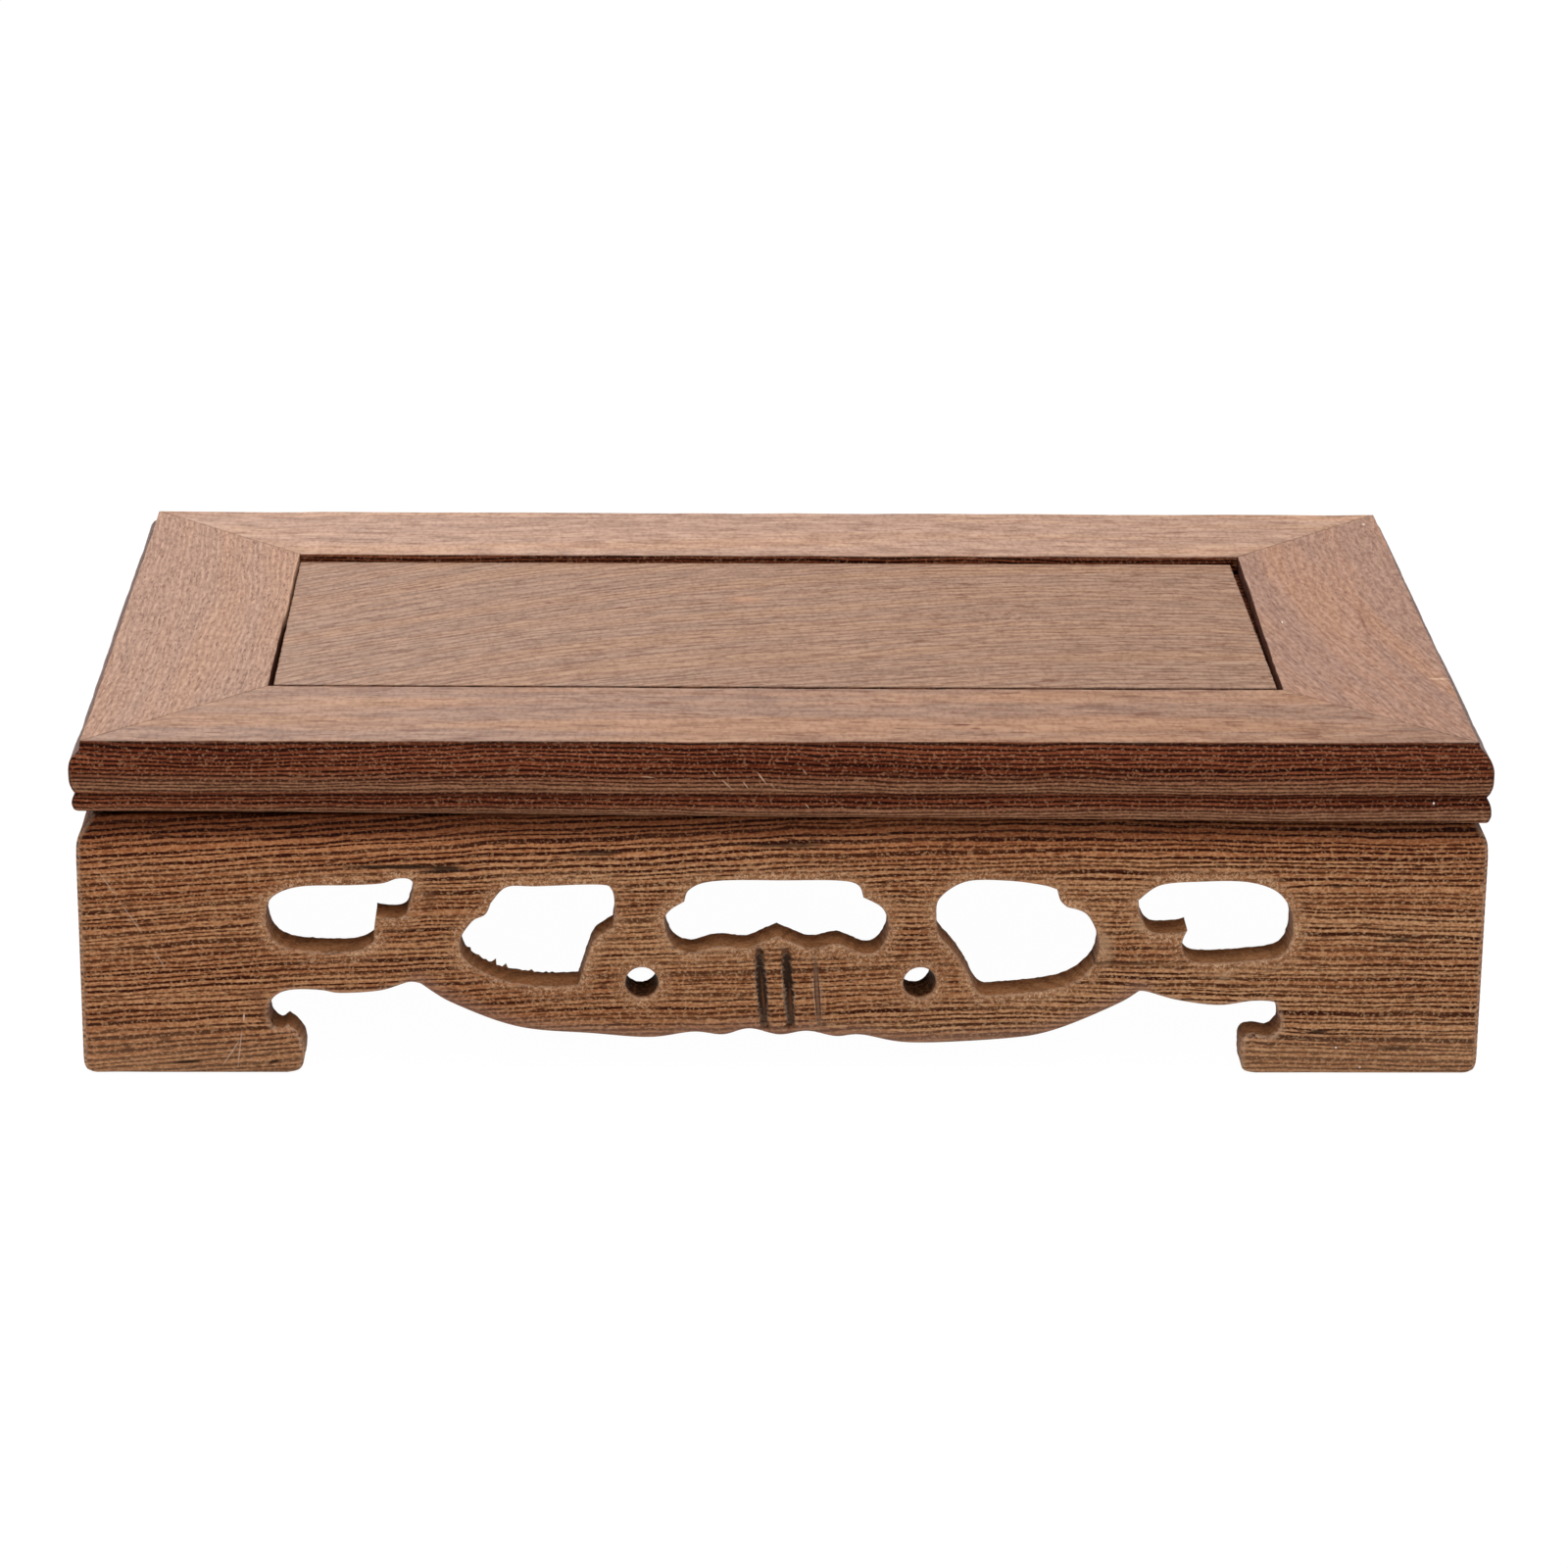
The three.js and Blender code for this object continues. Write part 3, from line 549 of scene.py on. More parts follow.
def front_depth(plan, sizes, hollows, gouged, seed):
    """Depth of the outer face behind its plane at every face point: the sum of the eased
    arrises, the leaning band along the top, worked hollows, gouged lines and a faint ripple."""
    x, z = plan.points[:, 0], plan.points[:, 1]
    corner = plan.half - np.abs(x)
    on_foot = 1 - smoothstep(FOOT_ZONE, FOOT_ZONE + FOOT_FADE, corner)
    lower = sizes.belly_arris + (sizes.foot_arris - sizes.belly_arris) * on_foot
    depth = eased(plan.to_lower, lower) + eased(plan.to_holes, sizes.opening_arris)
    depth += 0.4 * eased(z, 1.9) * on_foot
    shoulder = 1 - smoothstep(UNDERSIDE - 3.4, UNDERSIDE - 2.2, z)
    radius = sizes.corner_arris
    depth += eased(corner, radius) * np.where(corner < radius, 0.25 + 0.75 * shoulder, 1)
    past = z - (UNDERSIDE - sizes.bevel_down)
    softened = (past + np.sqrt(past**2 + 0.5)) / 2 - 0.05
    depth += np.maximum(softened, 0) * sizes.bevel_in / sizes.bevel_down
    depth += smoothstep(0.5, 4, corner) * np.maximum(ripple(x, z, seed, 16, 0.06), 0)
    for cx, cz, reach_x, reach_z, deep in hollows:
        depth += deep * np.exp(-((x - cx) / reach_x) ** 2 - ((z - cz) / reach_z) ** 2)
    cut = gouged_depth(x, z, seed) if gouged else np.zeros(len(x))
    return depth + cut, cut


def gouged_depth(x, z, seed):
    """Depth of the gouged lines: each is a rounded trough that wanders a little, with a width
    that varies, and fades out at both ends."""
    cut = np.zeros(len(x))
    ends = smoothstep(4.9, 5.6, z) * (1 - smoothstep(14.0, 14.9, z))
    for k, (middle, half_width, deep) in enumerate(GOUGES):
        off = x - middle - gouge_shift(z) - wander(z, seed + k, 3.1, 0.08)
        width = half_width * (1 + wander(z, seed + 5, 2.3, 0.12))
        cut += ends * deep * np.clip(1 - (off / width) ** 2, 0, 1) ** 0.7
    return cut


def splinters(plan, spots, seed):
    """How far the back arris stands out into an opening at each outline point: torn fibres where
    sharp random teeth meet the listed spots, and a slight roughness elsewhere."""
    p = plan.loop_points
    rng = np.random.default_rng(seed)
    teeth = rng.random(len(p)) ** 6
    out = np.zeros(len(p))
    for cx, cz, reach, size in spots:
        near = np.exp(-((p[:, 0] - cx) ** 2 + (p[:, 1] - cz) ** 2) / reach**2)
        out += size * near * teeth
    return out + 0.05 * np.abs(wander(np.arange(len(p)) * 1.0, seed, 9, 1.0))


def strayed(points):
    """How far the inside of a board is moved near the drilled holes, in full at their rims and
    fading to nothing 2 mm away."""
    moved = np.zeros_like(points)
    for x, out, up in DRILLED:
        away = np.hypot(points[:, 0] - x, points[:, 1] - DRILL_HEIGHT)
        moved += (1 - smoothstep(1.8, 3.8, away))[:, None] * (out, up)
    return moved


# Shares of the way through a board at which a saw-cut wall has its rows of points
WALL_STEPS = np.array([0.08, 0.22, 0.4, 0.6, 0.8, 0.93])[:, None]
# Length at each end of a board that is squeezed or stretched to meet its mitre
MITRE_ZONE = 12.5
# How far the right end of the base lies out of place, and between which x this grows
BASE_DRIFT, DRIFT_FROM, DRIFT_TO = 0.36, 20, 65


def to_mitre(plan, x, depth, gap):
    """x of board points at a depth, squeezed near the ends so that the board meets its mitres."""
    edge = np.abs(plan.loop_points[0, 0])
    fixed = plan.half - MITRE_ZONE
    share = (plan.half - gap / 2 - depth - fixed) / (edge - fixed)
    out = np.abs(x)
    return np.where(out > fixed, fixed + (out - fixed) * share, out) * np.sign(x)


def board_wear(plan, near, cut):
    """Point values of a board, each as its face's, its walls' and its back's share: sawn walls,
    haze along the lower edge, work round the openings, pale arrises and upright corners that
    are partly wear and partly painted highlight, and painted shade in the gouges and drilled
    holes."""
    worked = 1 - smoothstep(0.25, 1.9, plan.to_holes)
    hazy = 1 - smoothstep(0.2, 2.3, plan.to_belly)
    corner = plan.half - np.abs(plan.points[:, 0])
    # Pale arrises along the openings and feet: partly wear, partly painted highlight
    wear_and_highlight = np.maximum(0.65 * (1 - smoothstep(0.0, 0.4, near)), 1 - smoothstep(0.15, 0.6, plan.to_feet))
    # Painted highlight: the upright corners painted pale, as light caught on their rounded arris
    wear_and_highlight = np.maximum(wear_and_highlight, 0.9 * (1 - smoothstep(0.3, 0.95, corner)))
    sawn = np.tile(plan.kind != PLAIN, len(WALL_STEPS))
    # Painted shade: the walls of the drilled holes join the gouge mask and are painted near black
    drilled = ((plan.kind == DRILL) * smoothstep(0.0, 0.3, WALL_STEPS)).ravel()
    zeros = np.zeros(len(sawn))
    parts = {
        "sawn": (cut * 0, sawn, cut * 0),
        "hazy": (hazy, zeros, hazy),
        "worked": (worked, zeros, worked * 0),
        "wear_and_highlight": (wear_and_highlight, zeros, wear_and_highlight * 0.5),
        "gouged": (cut, drilled, cut * 0),
    }
    return {key: np.concatenate(shares) for key, shares in parts.items()}


def board_mesh(name, plan, half_across, sizes, quarter, hollows, gouged, spots, seed):
    """Board with a worked front face, saw-cut walls and a plain back face. A point at x, z and
    depth t lies at (squeezed x, front + t, z), and the squeeze keeps the ends on their mitres."""
    n, count = len(plan.loop_points), len(plan.points)
    front_t, cut = front_depth(plan, sizes, hollows, gouged, seed)
    near = np.minimum(plan.to_holes, plan.to_lower)
    back_t = BOARD - eased(near, sizes.back_arris)
    wall_t = front_t[:n] + (back_t[:n] - front_t[:n]) * WALL_STEPS
    stray = strayed(plan.points)
    drift = stray[:n] * (plan.kind == DRILL)[:, None]
    wall_xz = (plan.loop_points + WALL_STEPS[:, :, None] * drift).reshape(-1, 2)
    back_xz = plan.points + stray
    torn = splinters(plan, spots, seed + 3) * (plan.kind != PLAIN)
    back_xz[:n] -= torn[:, None] * plan.normals()
    flat = np.vstack([plan.points, wall_xz, back_xz])
    t = np.concatenate([front_t, wall_t.ravel(), back_t])
    x = to_mitre(plan, flat[:, 0], t, sizes.mitre_gap)
    points = turned(np.column_stack([x, t - half_across, np.maximum(flat[:, 1], 0)]), quarter)
    points[:, 0] += BASE_DRIFT * linear(DRIFT_FROM, DRIFT_TO, points[:, 0])
    first_back = count + len(WALL_STEPS) * n
    walls = []
    for ring in plan.rings:
        rows = [ring] + [count + k * n + ring for k in range(len(WALL_STEPS))] + [first_back + ring]
        walls.append(strip(np.array(rows)[::-1]))
    polygons = [plan.triangles, np.vstack(walls), plan.triangles[:, ::-1] + first_back]
    return make_mesh(name, points, polygons, board_wear(plan, near, cut))


# Frame


def rail_ring(half_across, quarter):
    """Section of a frame member as two matching rings, for its left and right end. Each runs
    along the top from the inner edge, down the moulded edge, back under it and up the groove."""
    inner = -half_across + RAIL_WIDTH
    groove = inner - GROOVE_DEPTH
    rings = []
    for corner in (quarter, quarter + 1):
        edge = EDGE_RIGHT if corner == 1 else EDGE_LEFT
        e = np.array([(-half_across + u, TOP - d) for u, d in edge])
        rim = e[0, 0]
        fine = [(inner, TOP - 0.12), (inner - 0.035, TOP - 0.035), (inner - 0.12, TOP)]
        lip = [(rim + 0.12, TOP), (rim + 0.035, TOP - 0.03), (rim, TOP - 0.12)]
        parts = [
            fine,
            np.linspace(fine[-1], lip[0], 34)[1:-1],
            lip,
            resampled(np.vstack([lip[-1], e[1:]]), 64)[1:],
            np.linspace(e[-1], (inner - 0.1, UNDERSIDE), 16)[1:],
            np.linspace((inner, UNDERSIDE + 0.1), (inner, GROOVE_LOW), 5),
            [(groove, GROOVE_LOW), (groove, GROOVE_HIGH)],
            np.linspace((inner, GROOVE_HIGH), fine[0], 5)[:-1],
        ]
        rings.append(np.vstack(parts))
    return rings


def resampled(points, count):
    """Catmull-Rom curve through the points, as count even steps."""
    return spread(np.vstack([smooth_run(points, 0.02), points[-1:]]), count)


def eased_corners(points, radius):
    """Rounds the frame's corners in plan: within the radius of a corner, each square ring about
    the corner's own centre becomes a quarter circle."""
    past = np.abs(points[:, :2]) - (HALF_LENGTH - radius, HALF_DEPTH - radius)
    near = (past > 0).all(1)
    shrink = past[near].max(1) / np.linalg.norm(past[near], axis=1)
    moved = points.copy()
    moved[near, :2] -= np.sign(points[near, :2]) * past[near] * (1 - shrink)[:, None]
    return moved


# How far the right member is drawn in at the back and at the front, and how much wider the
# front member is at its left end
DRAWN_IN_BACK, DRAWN_IN_FRONT, WIDENED = 0.1, 0.95, 0.6


def out_of_square(points):
    """The frame as glued. Its right member is drawn in, more towards the front, and its outer
    edge keeps its place. The front member widens inwards to the left."""
    x, y = points[:, 0], points[:, 1]
    right = linear(15, 53, x) * (1 - linear(57, 73, x))
    front = linear(HALF_DEPTH - 2, 2 - HALF_DEPTH, y)
    moved = points.copy()
    moved[:, 0] -= right * (DRAWN_IN_BACK + (DRAWN_IN_FRONT - DRAWN_IN_BACK) * front)
    moved[:, 1] += WIDENED * linear(15, -55, x) * np.interp(y, (-43, -25.5, 15), (0, 1, 0))
    return moved


def rail_wear(inward, down, from_end, outer):
    """Point values of a frame member, from how far in from the edge, down from the top and away
    from the mitre each point lies: rubbed arrises, pale lower halves of the beads that are
    partly painted bounce light from the floor and partly rubbed finish, painted shade lines
    in the narrow groove and under the top arris, and glue lines."""
    rim = np.exp(-((inward - 1.27) ** 2 + down**2) / 0.09)
    lip = np.exp(-((inward - RAIL_WIDTH) ** 2 + down**2) / 0.05)
    # Pale lower halves of the two beads: partly painted bounce light from the floor, partly rubbed finish
    low = smoothstep(2.7, 5.0, down) * (1 - smoothstep(5.35, 5.6, down))
    low = low + smoothstep(6.6, 7.6, down) * (1 - smoothstep(8.5, 8.8, down))
    # Painted shade: dark lines in the narrow groove between the beads and just under the top arris
    shade_line = np.exp(-((down - 5.8) ** 2) / 0.03) + 0.7 * np.exp(-((down - 0.32) ** 2) / 0.02)
    values = {"wear_and_highlight": np.maximum(rim, lip), "paler": low * outer, "shade_line": shade_line * outer,
              "mitre": 1 - smoothstep(0.0, 0.16, from_end)}
    return {key: value.ravel() for key, value in values.items()}


# Stations along a frame member from mitre to mitre
STATIONS = 281


def rail_mesh(name, half_along, half_across, sizes, quarter, seed):
    """Section carried along X between two mitres: at station s from -1 to 1 a section point
    lies at x = s (half length - its own distance in from the edge). The section passes from
    the left end's form to the right end's, with slow waves in the planed faces."""
    left, right = rail_ring(half_across, quarter)
    stations = np.linspace(-1, 1, STATIONS)[:, None]
    share = (stations + 1) / 2
    y = left[:, 0] * (1 - share) + right[:, 0] * share
    z = left[:, 1] * (1 - share) + right[:, 1] * share
    reach = half_along - (y + half_across) - sizes.mitre_gap * 0.5
    x = stations * reach
    from_end = reach - np.abs(x)
    calm = smoothstep(0, 6, from_end)
    outer = 1 - smoothstep(1.2, 3.5, y + half_across)
    inner = smoothstep(-half_across + RAIL_WIDTH - 1.5, -half_across + RAIL_WIDTH - 0.2, y)
    bow = wander(x, seed, 55, 0.07) + wander(x, seed + 1, 9, 0.022)
    y = np.maximum(y + calm * outer * np.maximum(bow + 0.05, 0), 0.002 - half_across)
    y = y + calm * inner * (wander(x, seed + 2, 40, 0.05) + wander(x, seed + 3, 5, 0.015))
    top = smoothstep(TOP - 0.13, TOP - 0.02, z).ravel()
    z = z - calm * (z > TOP - 0.6) * np.abs(wander(x, seed + 4, 60, 0.05))
    points = np.column_stack([x.ravel(), y.ravel(), z.ravel()])
    rows = np.arange(len(points)).reshape(STATIONS, -1)
    values = {"top": top, **rail_wear(y + half_across, TOP - z, from_end, outer)}
    placed = out_of_square(eased_corners(turned(points, quarter), sizes.frame_corner))
    return make_mesh(name, placed, [strip(rows), rows[:1, ::-1], rows[-1:]], values)


# Panel

# Grid steps along and across the panel, and how much its top rises towards the front
PANEL_STEPS_X, PANEL_STEPS_Y = 220, 100
PANEL_SUNK, PANEL_RISE = 0.05, 0.75

# Gaps along x and y from the opening's corners to the panel's: front left, front right, back
# right and back left
PANEL_GAPS = ((0.5, 1.35), (1.3, 0.8), (1.15, 0.3), (0.02, 0.3))
CORNER_SIGNS = np.array([(-1, -1), (1, -1), (1, 1), (-1, 1)])


def panel_mesh(name):
    """Slab whose side profile, with its tongue, is carried round a slightly skewed rectangle.
    The top and bottom are bilinear grids between the four corners of the innermost ring. The
    top rises towards its front edge."""
    open_x, open_y = HALF_LENGTH - RAIL_WIDTH, HALF_DEPTH - RAIL_WIDTH
    corners = CORNER_SIGNS * (np.array([open_x, open_y]) - PANEL_GAPS)
    tongue = CORNER_SIGNS * (open_x + TONGUE_REACH, open_y + TONGUE_REACH)
    counts = (PANEL_STEPS_X, PANEL_STEPS_Y) * 2

    def ring(four, inset, z):
        """Ring of points round a four-cornered plan, drawn in by inset, at height z."""
        middle = four.mean(0)
        drawn = four - np.sign(four - middle) * inset
        sides = [np.linspace(drawn[k], drawn[(k + 1) % 4], counts[k], endpoint=False) for k in range(4)]
        flat = np.vstack(sides)
        return np.column_stack([flat, np.full(len(flat), z)])

    profile = [(corners, 0.35, PANEL_TOP), (corners, 0.14, PANEL_TOP - 0.01),
               (corners, 0.05, PANEL_TOP - 0.05), (corners, 0.0, PANEL_TOP - 0.16),
               (corners, 0.0, PANEL_TOP - 0.6), (corners, 0.0, TONGUE_HIGH),
               (tongue, 0.0, TONGUE_HIGH), (tongue, 0.0, TONGUE_LOW), (corners, 0.0, TONGUE_LOW),
               (corners, 0.0, PANEL_BOTTOM + 0.1), (corners, 0.1, PANEL_BOTTOM)]
    rings = [ring(four, inset, z) for four, inset, z in profile]
    n = len(rings[0])
    rough = wander(np.arange(n) * 0.5, 71, 9, 0.05) + 0.10 * np.random.default_rng(9).random(n) ** 5
    middle = corners.mean(0)
    for k in range(1, 5):
        away = rings[k][:, :2] - middle
        rings[k][:, :2] -= np.sign(away) * np.abs(rough)[:, None] * (0.4 if k == 1 else 0.8)
    points = np.vstack(rings)
    rows = np.arange(len(points)).reshape(len(rings), n)
    grid_top, quads_top = cap_grid(rings[0], counts, len(points), 47, 0.03)
    grid_low, quads_low = cap_grid(rings[-1], counts, len(points) + len(grid_top), 48, 0.0)
    points = np.vstack([points, grid_top, grid_low])
    x, y, z = points.T
    top = smoothstep(PANEL_TOP - 0.2, PANEL_TOP - 0.03, z)
    near = np.minimum(open_x - np.abs(x), open_y - np.abs(y))
    lift = PANEL_RISE * linear(open_y, -open_y, y) - PANEL_SUNK
    points[:, 2] += lift * smoothstep(PANEL_TOP - 1.3, PANEL_TOP - 0.55, z)
    quads_top = joined_to_ring(quads_top, rows[0])
    quads_low = joined_to_ring(quads_low, rows[-1])[:, ::-1]
    values = {"top": top, "wear_and_highlight": np.exp(-((near - 0.5) ** 2) / 0.2) * top,
              "paler": near * 0, "shade_line": near * 0, "mitre": near * 0}
    return make_mesh(name, points, [strip(rows)[:, ::-1], quads_top, quads_low], values)


def cap_grid(ring, counts, first, seed, size):
    """Inner points of a grid spanned by a ring, each the bilinear mean of the four sides, with
    the grid's quads. Ring points are numbered from 0 and inner points from first."""
    nx, ny = counts[0], counts[1]
    south = ring[:nx + 1]
    east = ring[nx:nx + ny + 1]
    north = ring[nx + ny:2 * nx + ny + 1][::-1]
    west = np.vstack([ring[2 * nx + ny:], ring[:1]])[::-1]
    u = np.linspace(0, 1, nx + 1)[1:-1, None, None]
    v = np.linspace(0, 1, ny + 1)[None, 1:-1, None]
    mix = (1 - v) * south[1:-1, None] + v * north[1:-1, None]
    mix = mix + (1 - u) * west[None, 1:-1] + u * east[None, 1:-1]
    mix = mix - (1 - u) * (1 - v) * ring[0] - u * (1 - v) * ring[nx]
    mix = mix - u * v * ring[nx + ny] - (1 - u) * v * ring[2 * nx + ny]
    fade = (4 * u * (1 - u) * 4 * v * (1 - v))[..., 0]
    mix[..., 2] += fade * ripple(mix[..., 0], mix[..., 1], seed, 30, size)
    number = np.empty((nx + 1, ny + 1), int)
    number[:, 0] = np.arange(nx + 1)
    number[nx, :] = nx + np.arange(ny + 1)
    number[:, ny] = (nx + ny + np.arange(nx + 1))[::-1]
    number[0, 1:] = (2 * nx + ny + np.arange(ny))[::-1]
    number[1:-1, 1:-1] = first + np.arange((nx - 1) * (ny - 1)).reshape(nx - 1, ny - 1)
    quads = np.stack([number[:-1, :-1], number[1:, :-1], number[1:, 1:], number[:-1, 1:]], -1)
    return mix.reshape(-1, 3), quads.reshape(-1, 4)


def joined_to_ring(quads, row):
    """Grid quads whose low numbers stand for ring places, renumbered to that ring's points."""
    n = len(row)
    return np.where(quads < n, row[quads % n], quads)


# Node helpers


def node(tree, kind, values=None, **settings):
    """Adds a node, sets its properties and the values of its named or numbered inputs."""
    made = tree.nodes.new(kind)
    for key, value in settings.items():
        setattr(made, key, value)
    for key, value in (values or {}).items():
        if isinstance(value, bpy.types.NodeSocket):
            tree.links.new(value, made.inputs[key])
        else:
            made.inputs[key].default_value = value
    return made


def maths(tree, operation, *values):
    """Math node over numbers and sockets. Returns its output."""
    return node(tree, "ShaderNodeMath", values=dict(enumerate(values)), operation=operation).outputs[0]


def times(tree, a, b):
    """Product of two numbers or sockets."""
    return maths(tree, "MULTIPLY", a, b)


def scaled(tree, value, factor, offset):
    """Value times factor, plus offset."""
    return maths(tree, "MULTIPLY_ADD", value, factor, offset)


def centred(tree, value):
    """Value less a half, so that a noise swings about 0."""
    return maths(tree, "SUBTRACT", value, 0.5)


def ramp(tree, value, low, high):
    """Smooth step from 0 at low to 1 at high."""
    return node(tree, "ShaderNodeMapRange", values={0: value, 1: low, 2: high, 3: 0.0, 4: 1.0},
                interpolation_type="SMOOTHSTEP", clamp=True).outputs[0]


def blend(tree, share, a, b, mode="MIX"):
    """Colour mix of two sockets or colours. Returns its output."""
    a, b = (v if isinstance(v, bpy.types.NodeSocket) else (*v, 1.0)[:4] for v in (a, b))
    return node(tree, "ShaderNodeMix", values={0: share, 6: a, 7: b}, data_type="RGBA",
                blend_type=mode).outputs[2]


def laid(tree, base, mask, share, colour, mode="MIX"):
    """Lays a colour over a base where the mask is, at a share of its full strength."""
    strength = mask if share == 1 else times(tree, mask, share)
    return blend(tree, strength, base, colour, mode)


def stained(tree, base, mask, share, colour):
    """Multiplies a base by a colour where the mask is, at a share of its full strength."""
    return laid(tree, base, mask, share, colour, "MULTIPLY")


def toned(colour, shares):
    """Colour with each channel multiplied by its share."""
    return [c * k for c, k in zip(colour, shares)]


def noise(tree, vector, scale=1.0, detail=2.0, roughness=0.5, distortion=0.0):
    """Noise texture over a vector. Returns its value output."""
    made = node(tree, "ShaderNodeTexNoise", values={
        "Vector": vector, "Scale": scale, "Detail": detail, "Roughness": roughness,
        "Distortion": distortion})
    return made.outputs["Fac"]


def vectors(tree, operation, *values):
    """Vector Math node over vectors and sockets. Returns its vector output."""
    return node(tree, "ShaderNodeVectorMath", values=dict(enumerate(values)),
                operation=operation).outputs[0]


def combine(tree, x, y, z):
    """Vector from three numbers or sockets."""
    return node(tree, "ShaderNodeCombineXYZ", values={0: x, 1: y, 2: z}).outputs[0]


def separate(tree, vector):
    """The three parts of a vector."""
    return node(tree, "ShaderNodeSeparateXYZ", values={0: vector}).outputs


def empty_tree(owner):
    """Node tree of a material or of the world, emptied."""
    owner.use_nodes = True
    owner.node_tree.nodes.clear()
    return owner.node_tree


def new_group(name, inputs, outputs):
    """Shader node group. Its inputs are numbers and vectors with their defaults, and its outputs
    are numbers. Returns the group, its input sockets and its output node."""
    group = bpy.data.node_groups.new(name, "ShaderNodeTree")
    for label, default in inputs.items():
        kind = "NodeSocketVector" if isinstance(default, tuple) else "NodeSocketFloat"
        socket = group.interface.new_socket(label, in_out="INPUT", socket_type=kind)
        socket.default_value = default
    for label in outputs:
        group.interface.new_socket(label, in_out="OUTPUT", socket_type="NodeSocketFloat")
    return group, group.nodes.new("NodeGroupInput").outputs, group.nodes.new("NodeGroupOutput")


# Shared effects


def figure_group():
    """Figure of the wood, in millimetres. Bow times X squared is added to the place, so that the
    fibres bend. Layers lie across Z plus Tilt times Y and are bent by noise from slow to quick.
    Lines is where a wave through the layers, broken by noise along the grain, is dark, and
    Hairlines its narrow crests. Depth varies how dark a line is. Fibre is fine stretched noise,
    Clouds slow colour change, Pores short dark dashes. Fineness sets how fine fibres and
    dashes are."""
    group, s, end = new_group(
        "wood_figure",
        {"Vector": (0, 0, 0), "Spacing": 0.7, "Tilt": 0.2, "Bow": (0, 0, 0), "Bend": 0.8,
         "Breaks": 0.8, "Fineness": 1.0},
        ("Lines", "Hairlines", "Depth", "Fibre", "Clouds", "Pores"))
    along = separate(group, s["Vector"])[0]
    square = times(group, along, along)
    bowed = vectors(group, "MULTIPLY_ADD", s["Bow"], combine(group, square, square, square), s["Vector"])
    x, y, z = separate(group, bowed)
    layer = scaled(group, y, s["Tilt"], z)

    def grain_noise(height, shares, fineness=1.0, **more):
        """Noise over the place along, across and through the layers, each times its share."""
        parts = [times(group, part, times(group, fineness, share))
                 for part, share in zip((x, y, height), shares)]
        return noise(group, combine(group, *parts), **more)

    slow = centred(group, grain_noise(layer, (0.022, 0.05, 0.07), detail=1.0))
    quick = centred(group, grain_noise(layer, (0.13, 0.25, 0.45), detail=2.0))
    shake = centred(group, grain_noise(layer, (0.7, 0.9, 1.6), detail=3.0, roughness=0.6))
    bent = scaled(group, slow, times(group, s["Bend"], 3.0), layer)
    bent = scaled(group, quick, times(group, s["Bend"], 0.8), bent)
    bent = scaled(group, shake, times(group, s["Bend"], 0.12), bent)

    uneven = grain_noise(bent, (0.01, 0.04, 0.9), detail=1.0)
    phase = maths(group, "DIVIDE", bent, s["Spacing"])
    phase = scaled(group, uneven, 1.6, phase)
    wave = maths(group, "SINE", times(group, phase, 2 * math.pi))
    wave = scaled(group, wave, 0.5, 0.5)
    broken = centred(group, grain_noise(bent, (0.08, 0.4, 1.9), detail=2.0))
    wave = scaled(group, broken, s["Breaks"], wave)
    fineness = s["Fineness"]
    ragged = centred(group, grain_noise(bent, (2.2, 3.0, 3.2), fineness, detail=2.0, roughness=0.6))
    wave = scaled(group, ragged, times(group, s["Breaks"], 1.25), wave)
    dashes = grain_noise(bent, (0.6, 3.0, 4.2), fineness, detail=1.0)
    found = {
        "Lines": ramp(group, wave, 0.42, 0.74),
        "Hairlines": ramp(group, wave, 0.6, 0.95),
        "Depth": ramp(group, grain_noise(bent, (0.045, 0.3, 0.8), detail=2.0), 0.3, 0.68),
        "Fibre": grain_noise(bent, (0.55, 2.4, 3.4), fineness, detail=4.0, roughness=0.65),
        "Clouds": grain_noise(bent, (0.022, 0.2, 0.4), detail=2.0),
        "Pores": ramp(group, dashes, 0.6, 0.72),
    }
    for label, value in found.items():
        group.links.new(value, end.inputs[label])


def spot_group():
    """Local mark: 1 within the share Edge of its Reach round Centre, falling to 0 at the reach,
    turned by Angle about Y, with an edge frayed by noise stretched along the grain."""
    group, s, end = new_group(
        "local_mark",
        {"Vector": (0, 0, 0), "Centre": (0, 0, 0), "Reach": (1, 1, 1), "Angle": 0.0, "Fray": 0.6,
         "Edge": 0.45},
        ("Mask",))
    away = vectors(group, "SUBTRACT", s["Vector"], s["Centre"])
    away = node(group, "ShaderNodeVectorRotate", values={"Vector": away, "Angle": s["Angle"]},
                rotation_type="Y_AXIS").outputs[0]
    share = vectors(group, "DIVIDE", away, s["Reach"])
    length = node(group, "ShaderNodeVectorMath", values={0: share}, operation="LENGTH").outputs["Value"]
    squeezed = vectors(group, "MULTIPLY", s["Vector"], (0.3, 1.6, 3.0))
    frayed = centred(group, noise(group, squeezed, detail=3.0))
    total = scaled(group, frayed, times(group, s["Fray"], 2.0), length)
    inverse = maths(group, "SUBTRACT", 1.0, ramp(group, total, s["Edge"], 1.0))
    group.links.new(inverse, end.inputs["Mask"])


def grouped(tree, name, **values):
    """Places a node group with its input values. Returns its outputs."""
    return node(tree, "ShaderNodeGroup", values=values, node_tree=bpy.data.node_groups[name]).outputs


def attribute(tree, name):
    """Value of a point attribute."""
    return node(tree, "ShaderNodeAttribute", attribute_name=name).outputs["Fac"]


